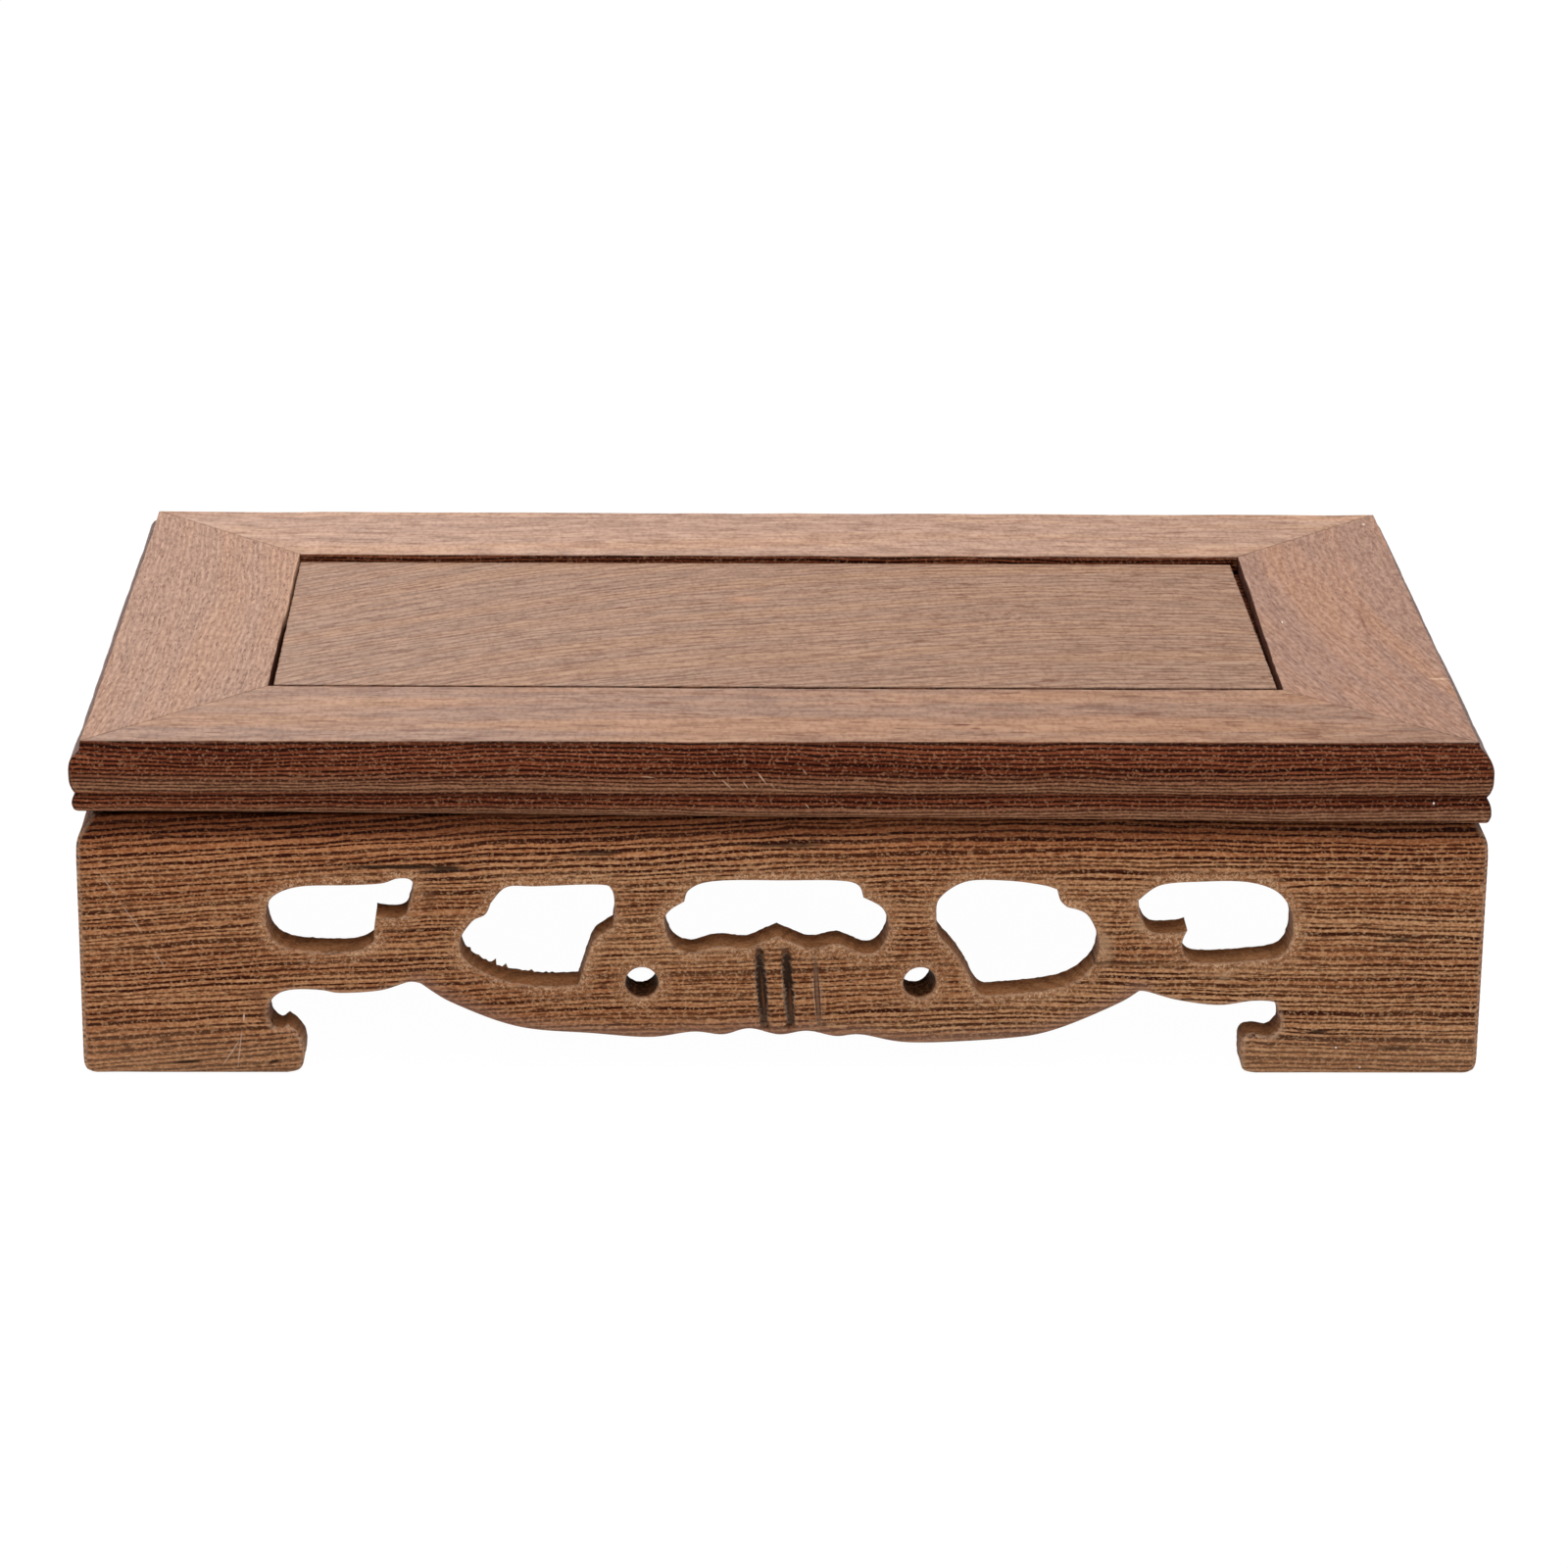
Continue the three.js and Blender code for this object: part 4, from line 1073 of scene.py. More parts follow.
def grain_vector(tree, quarter, shift=(0, 0, 0)):
    """Object coordinates in millimetres, turned so that the grain runs along X, and shifted to
    another part of the tree."""
    place = node(tree, "ShaderNodeTexCoord").outputs["Object"]
    mapping = node(tree, "ShaderNodeMapping", values={
        "Vector": place, "Location": shift, "Rotation": (0, 0, -quarter * math.pi / 2),
        "Scale": (1000, 1000, 1000)})
    return mapping.outputs[0]


def gritty(tree, place):
    """Fine grit in the wood, a little longer along the grain than across it."""
    return noise(tree, vectors(tree, "MULTIPLY", place, (3.0, 3.2, 3.8)), detail=1.0, roughness=0.6)


def new_material(name):
    """Empty node material with a Principled shader. Returns the material, its tree and shader."""
    material = bpy.data.materials.new(name)
    tree = empty_tree(material)
    shader = node(tree, "ShaderNodeBsdfPrincipled")
    node(tree, "ShaderNodeOutputMaterial", values={0: shader.outputs[0]})
    return material, tree, shader


def bumped(tree, shader, height, distance):
    """Feeds a height in to the shader's normal."""
    made = node(tree, "ShaderNodeBump", values={"Strength": 1.0, "Distance": distance, "Height": height})
    tree.links.new(made.outputs[0], shader.inputs["Normal"])


def marked(tree, base, place, marks):
    """Lays local marks over a colour. Each is a centre, a reach, an angle in degrees by which it
    is turned clockwise as seen from the front, a colour, its share, how frayed it is and how
    sharp."""
    for centre, reach, angle, colour, share, fray, edge in marks:
        mask = grouped(tree, "local_mark", Vector=place, Centre=centre, Reach=reach,
                       Angle=math.radians(-angle), Fray=fray, Edge=edge)["Mask"]
        base = laid(tree, base, mask, share, colour)
    return base


def apron_grain(tree, figure, lines, grit, where, finish):
    """Pale wood with clouds, dark lines, fibres, grit and pores. It is painted darker upwards, as
    shade under the frame, and is darker a little to the left."""
    light = blend(tree, ramp(tree, figure["Clouds"], 0.35, 0.68), finish.apron_light,
                  toned(finish.apron_light, (0.76, 0.63, 0.56)))
    dark = scaled(tree, figure["Depth"], 0.3, 0.7)
    dark = scaled(tree, ramp(tree, where[2], 20.0, 25.0), 0.1, dark)
    base = laid(tree, light, times(tree, lines, dark), 1, finish.apron_dark)
    base = stained(tree, base, ramp(tree, figure["Fibre"], 0.3, 0.7), 0.7, (0.56, 0.4, 0.31))
    base = stained(tree, base, ramp(tree, grit, 0.47, 0.64), 0.55, (0.55, 0.38, 0.29))
    base = laid(tree, base, ramp(tree, grit, 0.48, 0.34), 0.35, (0.62, 0.37, 0.2))
    base = laid(tree, base, figure["Pores"], 0.7, finish.apron_dark)
    # Painted shade under the frame, growing from 22 mm upwards
    base = stained(tree, base, ramp(tree, where[2], 22.0, 26.5), 1, (0.9, 0.78, 0.72))
    base = stained(tree, base, ramp(tree, where[0], 0.0, -60.0), 1, (0.95, 0.88, 0.84))
    # Painted shade under the frame's overhang, strongest on the leaning band at the top
    return stained(tree, base, ramp(tree, where[2], 25.9, 27.8), 1, (0.5, 0.4, 0.36))


def apron_work(tree, base, grit, fuzz, rubbed, place, where, face):
    """Marks of the work on an apron, with painted light and shade: smeared and flecked wood round
    the openings, plain saw cuts with painted shade that deepens behind the face, a hazy lower
    edge, pale arrises and feet that are partly wear and partly painted highlight, a paler band
    towards the floor, and painted shade in the gouges and drilled holes."""
    sawn = attribute(tree, "sawn")
    base = laid(tree, base, times(tree, rubbed, scaled(tree, grit, 1.1, -0.15)), 1, (0.17, 0.07, 0.03))
    flecks = ramp(tree, noise(tree, place, 2.4, 4.0, roughness=0.75, distortion=1.2), 0.52, 0.58)
    base = laid(tree, base, times(tree, rubbed, flecks), 0.8, (0.6, 0.38, 0.23))
    cut_tone = blend(tree, ramp(tree, fuzz, 0.35, 0.62), (0.26, 0.095, 0.034), (0.46, 0.21, 0.085))
    base = laid(tree, base, sawn, 0.5, cut_tone)
    # Painted shade: the saw-cut walls darken the deeper they lie behind the face
    deep_shade = times(tree, sawn, ramp(tree, where[1], face + 1.5, face + 4.4))
    base = stained(tree, base, deep_shade, 0.75, (0.5, 0.42, 0.38))
    base = laid(tree, base, attribute(tree, "hazy"), 0.5, (0.27, 0.145, 0.105))
    # Painted highlight and wear: arrises, feet and upright corners painted pale
    pale = times(tree, attribute(tree, "wear_and_highlight"), ramp(tree, fuzz, 0.36, 0.56))
    base = laid(tree, base, pale, 0.75, (0.5, 0.31, 0.2))
    base = laid(tree, base, ramp(tree, where[2], 8.0, 0.5), 0.13, (0.62, 0.38, 0.22))
    # Painted shade: the gouged lines and the walls of the drilled holes painted near black
    groove = ramp(tree, attribute(tree, "gouged"), 0.05, 0.5)
    inner = blend(tree, ramp(tree, fuzz, 0.45, 0.6), (0.02, 0.008, 0.004), (0.16, 0.065, 0.026))
    return laid(tree, base, groove, 0.9, inner)


def apron_wood(name, quarter, shift, finish, face, marks):
    """Golden wood with dark lines, which fade where the file has worked round an opening and in
    the saw cuts. The face lies at the depth given, as seen from its own side."""
    material, tree, shader = new_material(name)
    figure = grouped(tree, "wood_figure", Vector=grain_vector(tree, quarter, shift), Spacing=0.63,
                     Tilt=0.12, Bow=(0, 0, 0.0003), Breaks=0.42)
    place = grain_vector(tree, quarter)
    where = separate(tree, place)
    grit = gritty(tree, place)
    fuzz = noise(tree, place, 2.6, 4.0, roughness=0.65)
    patchy = noise(tree, place, 0.22)
    rubbed = times(tree, attribute(tree, "worked"), ramp(tree, patchy, 0.3, 0.52))
    fade = maths(tree, "SUBTRACT", 1.0, times(tree, rubbed, 0.55))
    fade = times(tree, fade, scaled(tree, attribute(tree, "sawn"), -0.4, 1.0))
    lines = times(tree, figure["Lines"], fade)
    base = apron_grain(tree, figure, lines, grit, where, finish)
    base = apron_work(tree, base, grit, fuzz, rubbed, place, where, face)
    tree.links.new(marked(tree, base, place, marks), shader.inputs["Base Color"])
    rough = scaled(tree, rubbed, 0.15, scaled(tree, figure["Fibre"], 0.2, 0.52))
    tree.links.new(rough, shader.inputs["Roughness"])
    height = scaled(tree, lines, -0.5, times(tree, figure["Fibre"], 0.5))
    height = scaled(tree, times(tree, rubbed, fuzz), 1.2, height)
    bumped(tree, shader, height, 0.00009)
    shader.inputs["Specular IOR Level"].default_value = 0.05
    return material


def moulded_side(tree, figure, fibre, fuzz, place, paler, finish):
    """Red-brown wood of the moulded edge, with dark lines, pale lower halves of the beads
    that are partly painted bounce light from the floor and partly rubbed finish, and painted
    shade lines in the narrow groove and under the top arris.
    """
    side = blend(tree, ramp(tree, figure["Clouds"], 0.35, 0.7), finish.frame_light,
                 toned(finish.frame_light, (0.56, 0.42, 0.37)))
    # Pale lower halves of the beads: partly painted bounce light from the floor, partly rubbed finish
    side = laid(tree, side, times(tree, paler, scaled(tree, fuzz, 0.8, 0.2)), 1, (0.4, 0.22, 0.125))
    dark = scaled(tree, figure["Depth"], 0.1, 0.9)
    dark = times(tree, dark, scaled(tree, paler, -0.25, 1.0))
    side = laid(tree, side, times(tree, figure["Lines"], dark), 1, finish.frame_dark)
    side = stained(tree, side, fibre, 0.65, (0.42, 0.3, 0.25))
    grit = gritty(tree, place)
    side = laid(tree, side, ramp(tree, grit, 0.46, 0.32), 0.35, (0.4, 0.2, 0.11))
    side = stained(tree, side, ramp(tree, grit, 0.5, 0.64), 0.4, (0.5, 0.36, 0.3))
    # Painted shade lines in the narrow groove and under the top arris
    return laid(tree, side, attribute(tree, "shade_line"), 0.7, finish.frame_dark)


def sanded_top(tree, figure, fibre, finish, tone_and_sheen, lined, pores, streaked):
    """Paler wood of a sanded top: grey and orange streaks, bright flecks, thin lines, fibres,
    pores and the scratches of the sanding."""
    # The colour share holds the top's own colour, and painted sheen and light
    light = toned(finish.top_light, tone_and_sheen)
    over = laid(tree, light, ramp(tree, figure["Clouds"], 0.44, 0.56), streaked,
                toned(light, (0.75, 0.84, 1.02)))
    over = laid(tree, over, ramp(tree, figure["Clouds"], 0.44, 0.36), 0.5 * streaked,
                toned(light, (1.16, 1.04, 0.8)))
    over = laid(tree, over, ramp(tree, figure["Fibre"], 0.62, 0.42), 0.25,
                [min(c * 1.5, 1) for c in light])
    over = laid(tree, over, figure["Hairlines"], lined, finish.top_dark)
    over = stained(tree, over, fibre, 0.5, (0.62, 0.52, 0.46))
    over = laid(tree, over, figure["Pores"], pores, (0.15, 0.055, 0.03))
    scratches = noise(tree, vectors(tree, "MULTIPLY", grain_vector(tree, 0), (2.0, 0.9, 0.9)), detail=1.0)
    return stained(tree, over, ramp(tree, scratches, 0.45, 0.65), 0.4, (0.6, 0.48, 0.42))


def frame_wood(name, quarter, shift, finish, tone_and_sheen, tilt, fine, lined, pores, streaked, bow=0.0,
               glance=0.0, marks=()):
    """Red-brown moulded wood whose sanded top is paler and finer, with rubbed arrises and thin
    dark glue lines at the mitres."""
    material, tree, shader = new_material(name)
    top, paler = attribute(tree, "top"), attribute(tree, "paler")
    figure = grouped(tree, "wood_figure", Vector=grain_vector(tree, quarter, shift), Spacing=0.47,
                     Tilt=tilt, Bow=(0, bow, 0), Breaks=scaled(tree, top, -0.1, 0.4),
                     Fineness=scaled(tree, top, fine - 1, 1.0))
    place = grain_vector(tree, quarter)
    fuzz = noise(tree, place, 1.7, 4.0, roughness=0.65)
    fibre = ramp(tree, figure["Fibre"], 0.3, 0.7)
    side = moulded_side(tree, figure, fibre, fuzz, place, paler, finish)
    over = sanded_top(tree, figure, fibre, finish, tone_and_sheen, lined, pores, streaked)
    base = blend(tree, top, side, over)
    rub = times(tree, attribute(tree, "wear_and_highlight"), ramp(tree, fuzz, 0.42, 0.65))
    base = laid(tree, base, rub, 0.3, (0.34, 0.2, 0.14))
    seam = times(tree, attribute(tree, "mitre"), ramp(tree, fuzz, 0.42, 0.62))
    base = laid(tree, base, seam, 0.4, (0.12, 0.055, 0.035))
    tree.links.new(marked(tree, base, place, marks), shader.inputs["Base Color"])
    tree.links.new(scaled(tree, figure["Fibre"], 0.15, 0.5), shader.inputs["Roughness"])
    height = scaled(tree, figure["Lines"], -0.45, times(tree, figure["Fibre"], 0.5))
    height = scaled(tree, figure["Pores"], -0.4, height)
    bumped(tree, shader, height, 0.0001)
    shader.inputs["Specular IOR Level"].default_value = 0.03
    tree.links.new(scaled(tree, top, 0.2 - glance, glance), shader.inputs["Coat Weight"])
    shader.inputs["Coat Roughness"].default_value = 0.45
    return material


def plain_wood(name, quarter, shift, light, dark, spacing):
    """Sawn wood of hidden pieces: the same figure, left rough."""
    material, tree, shader = new_material(name)
    figure = grouped(tree, "wood_figure", Vector=grain_vector(tree, quarter, shift),
                     Spacing=spacing, Tilt=0.4)
    base = laid(tree, light, figure["Lines"], 0.7, dark)
    base = stained(tree, base, figure["Fibre"], 0.6, (0.6, 0.52, 0.46))
    tree.links.new(base, shader.inputs["Base Color"])
    shader.inputs["Roughness"].default_value = 0.75
    bumped(tree, shader, figure["Fibre"], 0.00008)
    return material


# Local marks
BLACK, BROWN, STREAK = (0.02, 0.009, 0.005), (0.13, 0.05, 0.022), (0.13, 0.035, 0.018)
ASH, PALE, SCRATCH = (0.46, 0.29, 0.17), (0.55, 0.4, 0.3), (0.55, 0.36, 0.24)
WHITE, CHALK = (0.8, 0.75, 0.7), (0.9, 0.88, 0.85)


def on_face(y, depth, rows):
    """Marks on an upright face at y. Each row begins with x, z and the reach along each."""
    return tuple(((x, y, z), (across, depth, up), *rest) for x, z, across, up, *rest in rows)


def on_top(z, rows):
    """Marks on a level top at height z. Each row begins with x, y and the reach along each."""
    return tuple(((x, y, z), (along, across, 1), *rest) for x, y, along, across, *rest in rows)


APRON_MARKS = {"front": on_face(-44, 9, (
    # Dark streaks and knots in the grain, torn grain beside the openings, and painted shade in
    # the notch of the left hook
    (-41.0, 23.75, 9.0, 0.34, 1, BLACK, 0.9, 0.35, 0.3),
    (-35.8, 23.5, 3.0, 0.7, -4, BLACK, 0.85, 0.5, 0.3),
    (-63.5, 1.6, 2.6, 0.3, -2, BLACK, 0.9, 0.35, 0.3),
    (-54.2, 1.6, 1.0, 0.3, -20, BLACK, 0.9, 0.3, 0.3),
    (-20.0, 25.3, 5.0, 0.36, -2, BLACK, 0.8, 0.45, 0.3),
    (0.1, 26.2, 7.5, 0.34, 0, BLACK, 0.8, 0.45, 0.3),
    (36.0, 12.9, 9.0, 0.28, 0, BLACK, 0.7, 0.5, 0.3),
    (65.5, 15.6, 2.6, 0.3, -3, BLACK, 0.8, 0.5, 0.3),
    (57.6, 5.1, 1.6, 0.28, -4, BLACK, 0.9, 0.4, 0.3),
    (66.0, 3.2, 3.0, 0.24, 0, BLACK, 0.8, 0.5, 0.3),
    (59.0, 21.7, 1.4, 0.24, -3, BLACK, 0.8, 0.4, 0.3),
    (-55.9, 9.2, 1.8, 1.1, 20, BROWN, 0.65, 0.5, 0.1),
    (-55.0, 6.9, 0.8, 1.7, -30, BROWN, 0.6, 0.5, 0.1),
    # Painted shade in the notch of the left hook, near black
    (-53.7, 6.3, 1.5, 0.6, -35, BLACK, 0.8, 0.5, 0.2),
    (-40.8, 18.8, 1.7, 0.7, 8, BROWN, 0.8, 0.5, 0.1),
    (-37.3, 20.0, 0.9, 2.6, 0, BROWN, 0.5, 0.6, 0.1),
    (34.4, 14.9, 1.3, 2.8, 0, ASH, 0.45, 1.6, 0.0),
    (38.0, 17.2, 1.0, 0.9, -20, ASH, 0.45, 1.4, 0.0),
    (47.3, 11.4, 1.3, 0.7, 0, ASH, 0.45, 1.5, 0.0),
    (52.4, 6.2, 1.3, 0.9, -20, BROWN, 0.8, 0.5, 0.1),
    # Scratches and specks
    (-57.3, 6.7, 0.13, 0.65, 4, PALE, 0.9, 0.2, 0.5),
    (-57.8, 3.2, 0.1, 2.6, 7, PALE, 0.55, 0.2, 0.5),
    (-58.7, 2.7, 0.1, 2.2, 33, PALE, 0.6, 0.2, 0.5),
    (-71.3, 21.8, 0.1, 2.2, -32, PALE, 0.4, 0.3, 0.4),
    (-68.9, 18.0, 0.1, 2.6, -32, PALE, 0.4, 0.3, 0.4),
    (-66.0, 13.2, 0.1, 1.6, -30, PALE, 0.4, 0.3, 0.4),
    (59.6, 3.3, 0.16, 0.14, 0, WHITE, 0.9, 0.1, 0.5),
    (62.3, 1.0, 0.12, 0.16, 0, WHITE, 0.9, 0.1, 0.5),
    # Pale rims of the gouged lines, and painted shade on their dark floors
    (-2.1, 9.9, 0.76, 5.1, -4.6, PALE, 0.25, 0.6, 0.75),
    (0.73, 9.9, 0.76, 5.0, -4.4, PALE, 0.25, 0.6, 0.75),
    (3.83, 9.3, 0.5, 4.5, -4.4, PALE, 0.25, 0.6, 0.7),
    (-2.1, 9.9, 0.66, 4.9, -4.6, BLACK, 0.9, 0.8, 0.6),
    (0.7, 11.2, 0.66, 3.4, -4.4, BLACK, 0.9, 0.8, 0.6),
    (0.9, 8.4, 0.5, 3.4, -4.4, BLACK, 0.75, 0.7, 0.6),
    (-1.95, 9.0, 0.18, 3.4, -4.6, BROWN, 0.9, 0.9, 0.3),
    (0.98, 8.4, 0.2, 2.6, -4.4, BROWN, 0.9, 0.9, 0.3),
    (3.83, 9.3, 0.34, 4.3, -4.4, BROWN, 0.6, 0.3, 0.8),
    (3.62, 9.3, 0.1, 4.0, -4.4, BLACK, 0.6, 0.3, 0.4),
    (4.04, 9.3, 0.1, 4.0, -4.4, BLACK, 0.6, 0.3, 0.4),
))}

FRAME_MARKS = {
    "front": on_top(TOP, (
        (19.1, -37.9, 1.3, 0.45, 0, STREAK, 0.9, 0.3, 0.3),
        (20.5, -39.1, 0.7, 0.35, 0, STREAK, 0.8, 0.3, 0.3),
    )) + on_face(-45, 3, (
        (-7.3, 34.4, 0.08, 0.45, -38, SCRATCH, 0.6, 0.1, 0.5),
        (-6.0, 33.2, 0.08, 0.9, -45, SCRATCH, 0.7, 0.1, 0.5),
        (-4.0, 33.1, 0.08, 0.6, -36, SCRATCH, 0.8, 0.1, 0.5),
        (-2.3, 33.9, 0.09, 0.95, -36, SCRATCH, 0.8, 0.1, 0.5),
        (-1.2, 33.1, 0.07, 0.4, -36, SCRATCH, 0.5, 0.1, 0.5),
        (2.2, 34.6, 0.07, 0.5, -36, SCRATCH, 0.5, 0.1, 0.5),
        (-14.3, 34.0, 0.9, 0.08, 5, SCRATCH, 0.6, 0.1, 0.5),
        (2.5, 30.7, 0.07, 0.5, -40, SCRATCH, 0.6, 0.1, 0.5),
        (68.7, 31.1, 0.14, 0.14, 0, CHALK, 0.9, 0.1, 0.5),
    )),
    "right": on_top(TOP, (
        (0.3, -66.7, 8.0, 0.28, 0, STREAK, 0.5, 0.5, 0.2),
        (-0.4, -57.5, 0.6, 0.12, 0, (0.8, 0.68, 0.5), 0.8, 0.2, 0.4),
        (39.5, -72.0, 0.5, 0.25, 0, (0.75, 0.6, 0.5), 0.7, 0.2, 0.4),
        (-21.5, -72.2, 0.5, 1.3, 0, (0.7, 0.48, 0.33), 0.6, 0.6, 0.2),
    )),
    "left": (
        # Painted light on the inner arris and wall over the back half, painted pale along its length
        ((-20, -55.5, 36.9), (24, 0.25, 1.5), 0, (0.5, 0.29, 0.19), 1.0, 0.1, 0.8),
    ),
    "back": on_top(TOP, (
        (35.3, -41.8, 0.9, 0.35, 0, STREAK, 0.7, 0.5, 0.2),
    )),
}
PANEL_MARKS = on_top(PANEL_TOP, (
    (-25.8, 8.1, 1.0, 0.5, 0, (0.12, 0.04, 0.02), 0.8, 0.2, 0.3),
    (-2.8, 9.7, 3.5, 2.0, 0, (0.5, 0.25, 0.13), 0.4, 0.9, 0.0),
))

# Where in the tree each part of the frame was cut, and how its sanded top looks. The colour
# shares of the tops also hold painted sheen and light: the back and left tops are painted
# lighter and whiter than the front and right.
FRAME_LOOKS = {
    "front": dict(shift=(0, 0, 0), tone_and_sheen=(0.79, 0.86, 0.91), tilt=0.14, fine=0.4, lined=0.25,
                  pores=0.6, streaked=0.65),
    "right": dict(shift=(-30, 13, 17.7), tone_and_sheen=(0.85, 0.93, 1.06), tilt=0.5, fine=0.9, lined=0.2,
                  pores=0.35, streaked=0.5, bow=0.0021, glance=0.8),
    "back": dict(shift=(18, 26, 35.4), tone_and_sheen=(0.97, 1.13, 1.28), tilt=0.14, fine=0.4, lined=0.2,
                 pores=0.4, streaked=0.4),
    "left": dict(shift=(0, 39, 53.1), tone_and_sheen=(0.9, 1.0, 1.1), tilt=0.7, fine=1.0, lined=0.3,
                 pores=0.65, streaked=0.3, bow=0.0008, glance=0.8),
}
PANEL_LOOK = dict(shift=(-45, 40, 77), tone_and_sheen=(0.77, 0.875, 0.935), tilt=0.33, fine=0.55, lined=0.5,
                  pores=0.7, streaked=0.4, bow=0.003)

# Torn fibres behind the front apron's left crest: x, z, reach and size
FRONT_TEARS = ((-31.2, 10.9, 3.4, 1.0), (-25.6, 9.8, 2.0, 0.5))


# Operators


class STAND_OT_effects(bpy.types.Operator):
    """Make the node groups that the wood finishes share"""

    bl_idname = "stand.effects"
    bl_label = "Shared Effects"

    def execute(self, context):
        figure_group()
        spot_group()
        return {"FINISHED"}


class STAND_OT_aprons(bpy.types.Operator):
    """Make the four fretted aprons with their worked faces and saw-cut walls"""

    bl_idname = "stand.aprons"
    bl_label = "Aprons"

    def execute(self, context):
        sizes, finish = in_millimetres(context.scene.stand_sizes), context.scene.stand_finish
        plans = {True: long_plan(sizes), False: short_plan(sizes)}
        for side, quarter in SIDES:
            is_long = quarter % 2 == 0
            across = APRON_HALF_DEPTH if is_long else APRON_HALF_LENGTH
            mesh = board_mesh(f"{side}_fretted_apron", plans[is_long], across, sizes, quarter,
                              LONG_HOLLOWS if is_long else SHORT_HOLLOWS, is_long,
                              FRONT_TEARS if side == "front" else (), 11 + 7 * quarter)
            shift = (6.0 * quarter - 50, 5.0 * quarter, 11.3 * quarter)
            material = apron_wood(f"{side}_apron_wood", quarter, shift, finish, -across,
                                  APRON_MARKS.get(side, ()))
            make_piece(f"{side}_fretted_apron", mesh, f"{side}_apron", material)
        return {"FINISHED"}


class STAND_OT_frame(bpy.types.Operator):
    """Make the four moulded frame members, mitred at the corners"""

    bl_idname = "stand.frame"
    bl_label = "Frame"

    def execute(self, context):
        sizes, finish = in_millimetres(context.scene.stand_sizes), context.scene.stand_finish
        for side, quarter in SIDES:
            is_long = quarter % 2 == 0
            along, across = (HALF_LENGTH, HALF_DEPTH) if is_long else (HALF_DEPTH, HALF_LENGTH)
            mesh = rail_mesh(f"{side}_moulded_rail", along, across, sizes, quarter, 31 + 5 * quarter)
            material = frame_wood(f"{side}_rail_wood", quarter, finish=finish,
                                  marks=FRAME_MARKS[side], **FRAME_LOOKS[side])
            make_piece(f"{side}_moulded_rail", mesh, f"{side}_rail", material)
        return {"FINISHED"}


class STAND_OT_panel(bpy.types.Operator):
    """Make the floating panel that lies in the grooves of the frame"""

    bl_idname = "stand.panel"
    bl_label = "Panel"

    def execute(self, context):
        material = frame_wood("panel_wood", 0, finish=context.scene.stand_finish,
                              marks=PANEL_MARKS, **PANEL_LOOK)
        make_piece("floating_panel", panel_mesh("floating_panel"), "centre_panel", material)
        return {"FINISHED"}


class STAND_OT_inside(bpy.types.Operator):
    """Give the batten, the corner blocks and the pins their finishes"""

    bl_idname = "stand.inside"
    bl_label = "Inner Pieces"

    def execute(self, context):
        sawn = plain_wood("inner_wood", 1, (3, 50, 20), (0.30, 0.145, 0.07), (0.07, 0.028, 0.014), 0.8)
        cane = plain_wood("bamboo", 0, (9, 90, 20), (0.58, 0.39, 0.18), (0.4, 0.25, 0.1), 0.4)
        for name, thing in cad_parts.items():
            if "block" in name or "batten" in name or "pin" in name:
                thing.data.materials.clear()
                thing.data.materials.append(cane if "pin" in name else sawn)
        return {"FINISHED"}


# Stage, in metres and watts. The camera's angles are its pitch down, its yaw and its roll.
LAMPS = (("overhead_lamp", (0.0, -0.05, 1.0), 0.8, 6.7),
         ("front_lamp", (0.1, -1.1, 0.9), 0.8, 5.6),
         ("back_lamp", (-0.14, 0.34, 0.36), 0.3, 1.35))
LAMPS_AIM = (0, 0, 0.02)
FLOOR_WHITE, FLOOR_GLOW, FLOOR_GLOW_SHARE = (0.86, 0.86, 0.86, 1), 1.03, 0.955
SURROUNDINGS = 0.4
CAMERA_PLACE = (-0.012652, -0.546058, 0.205931)
CAMERA_ANGLES = (19.009, -1.45, 0.58)
CAMERA_LENS = 115.83


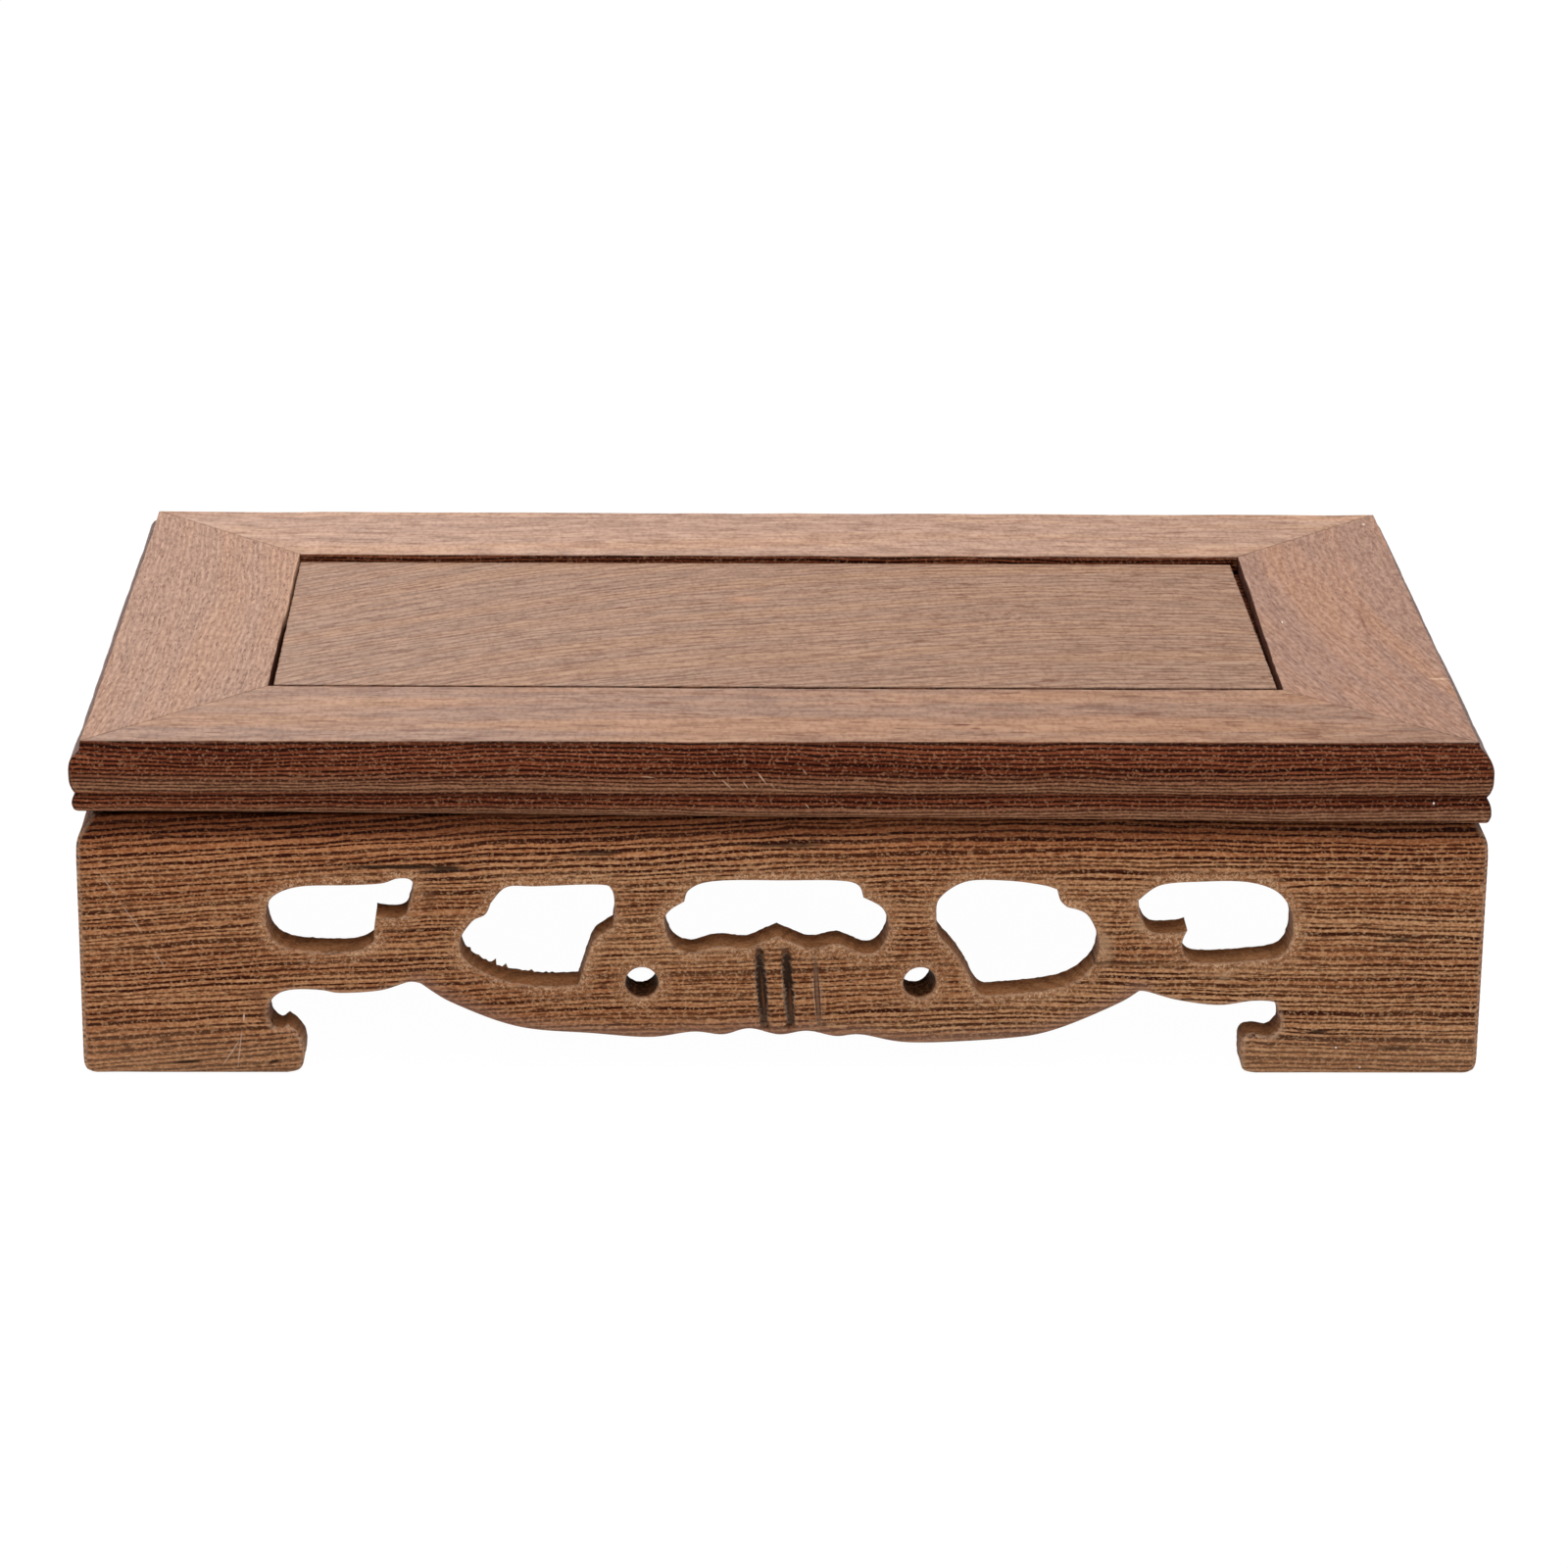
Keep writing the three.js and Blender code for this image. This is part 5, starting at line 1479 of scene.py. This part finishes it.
class STAND_OT_stage(bpy.types.Operator):
    """Make the white floor, the soft lamps and the camera"""

    bl_idname = "stand.stage"
    bl_label = "Stage"

    def execute(self, context):
        scene = context.scene
        scene.view_settings.view_transform = "Standard"
        self.make_floor(scene)
        self.make_world(scene)
        for name, place, size, power in LAMPS:
            lamp = bpy.data.lights.new(name, "AREA")
            lamp.shape, lamp.size, lamp.energy = "SQUARE", size, power
            thing = bpy.data.objects.new(name, lamp)
            thing.location = place
            aim = Vector(LAMPS_AIM) - thing.location
            thing.rotation_euler = aim.to_track_quat("-Z", "Y").to_euler()
            scene.collection.objects.link(thing)
        self.make_camera(scene)
        return {"FINISHED"}

    def make_floor(self, scene):
        """White floor that the camera sees as white paper with the stand's shadow on it."""
        side = np.linspace(-3, 3, 9)
        x, y = np.meshgrid(side, side)
        points = np.column_stack([x.ravel(), y.ravel(), np.zeros(x.size)]) / MM
        rows = np.arange(x.size).reshape(x.shape)
        floor = bpy.data.objects.new("floor", make_mesh("floor", points, [strip(rows, False)]))
        scene.collection.objects.link(floor)
        material = bpy.data.materials.new("white_floor")
        tree = empty_tree(material)
        paint = node(tree, "ShaderNodeBsdfDiffuse", values={"Color": FLOOR_WHITE})
        glow = node(tree, "ShaderNodeEmission", values={"Strength": FLOOR_GLOW})
        path = node(tree, "ShaderNodeLightPath")
        rays = maths(tree, "MAXIMUM", path.outputs["Is Camera Ray"], path.outputs["Is Glossy Ray"])
        rays = maths(tree, "MAXIMUM", rays, path.outputs["Is Transmission Ray"])
        mix = node(tree, "ShaderNodeMixShader", values={
            0: times(tree, rays, FLOOR_GLOW_SHARE), 1: paint.outputs[0], 2: glow.outputs[0]})
        node(tree, "ShaderNodeOutputMaterial", values={0: mix.outputs[0]})
        floor.data.materials.append(material)

    def make_world(self, scene):
        """Even surroundings that light the stand softly and are white to the camera."""
        world = bpy.data.worlds.new("studio")
        scene.world = world
        tree = empty_tree(world)
        path = node(tree, "ShaderNodeLightPath")
        white = (1, 1, 1, 1)
        soft = node(tree, "ShaderNodeBackground", values={"Color": white, "Strength": SURROUNDINGS})
        paper = node(tree, "ShaderNodeBackground", values={"Color": white, "Strength": 1.0})
        mix = node(tree, "ShaderNodeMixShader", values={
            0: path.outputs["Is Camera Ray"], 1: soft.outputs[0], 2: paper.outputs[0]})
        node(tree, "ShaderNodeOutputWorld", values={0: mix.outputs[0]})

    def make_camera(self, scene):
        """Camera at the angle of the photograph: turned by yaw, pitched down and rolled."""
        camera = bpy.data.cameras.new("camera")
        camera.sensor_width = 36.0
        camera.lens = CAMERA_LENS
        camera.clip_start = 0.01
        thing = bpy.data.objects.new("camera", camera)
        pitch, yaw, roll = (math.radians(angle) for angle in CAMERA_ANGLES)
        sp, cp, sy, cy = math.sin(pitch), math.cos(pitch), math.sin(yaw), math.cos(yaw)
        right = Vector((cy, sy, 0))
        forward = Vector((-cp * sy, cp * cy, -sp))
        up = Vector((-sp * sy, sp * cy, cp))
        across = math.cos(roll) * right + math.sin(roll) * up
        above = math.cos(roll) * up - math.sin(roll) * right
        turn = Matrix((across, above, -forward)).transposed().to_4x4()
        thing.matrix_world = Matrix.Translation(CAMERA_PLACE) @ turn
        scene.collection.objects.link(thing)
        scene.camera = thing


class STAND_PT_panel(bpy.types.Panel):
    """Sidebar list of the steps that build the stand"""

    bl_idname = "STAND_PT_panel"
    bl_label = "Display Stand"
    bl_space_type = "VIEW_3D"
    bl_region_type = "UI"
    bl_category = "Stand"

    def draw(self, context):
        for group in (context.scene.stand_sizes, context.scene.stand_finish):
            for key in group.__annotations__:
                self.layout.prop(group, key)
        for step in STEPS:
            self.layout.operator(step.bl_idname)


STEPS = (STAND_OT_effects, STAND_OT_aprons, STAND_OT_frame, STAND_OT_panel, STAND_OT_inside,
         STAND_OT_stage)
CLASSES = (StandSizes, StandFinish, *STEPS, STAND_PT_panel)


def register():
    """Registers the classes and the scene's settings."""
    for kind in CLASSES:
        bpy.utils.register_class(kind)
    bpy.types.Scene.stand_sizes = PointerProperty(type=StandSizes)
    bpy.types.Scene.stand_finish = PointerProperty(type=StandFinish)


def unregister():
    """Removes the classes and the scene's settings."""
    del bpy.types.Scene.stand_finish
    del bpy.types.Scene.stand_sizes
    for kind in reversed(CLASSES):
        bpy.utils.unregister_class(kind)


def main():
    register()
    bpy.ops.stand.effects()
    bpy.ops.stand.aprons()
    bpy.ops.stand.frame()
    bpy.ops.stand.panel()
    bpy.ops.stand.inside()
    bpy.ops.stand.stage()


if __name__ == "__main__":
    main()
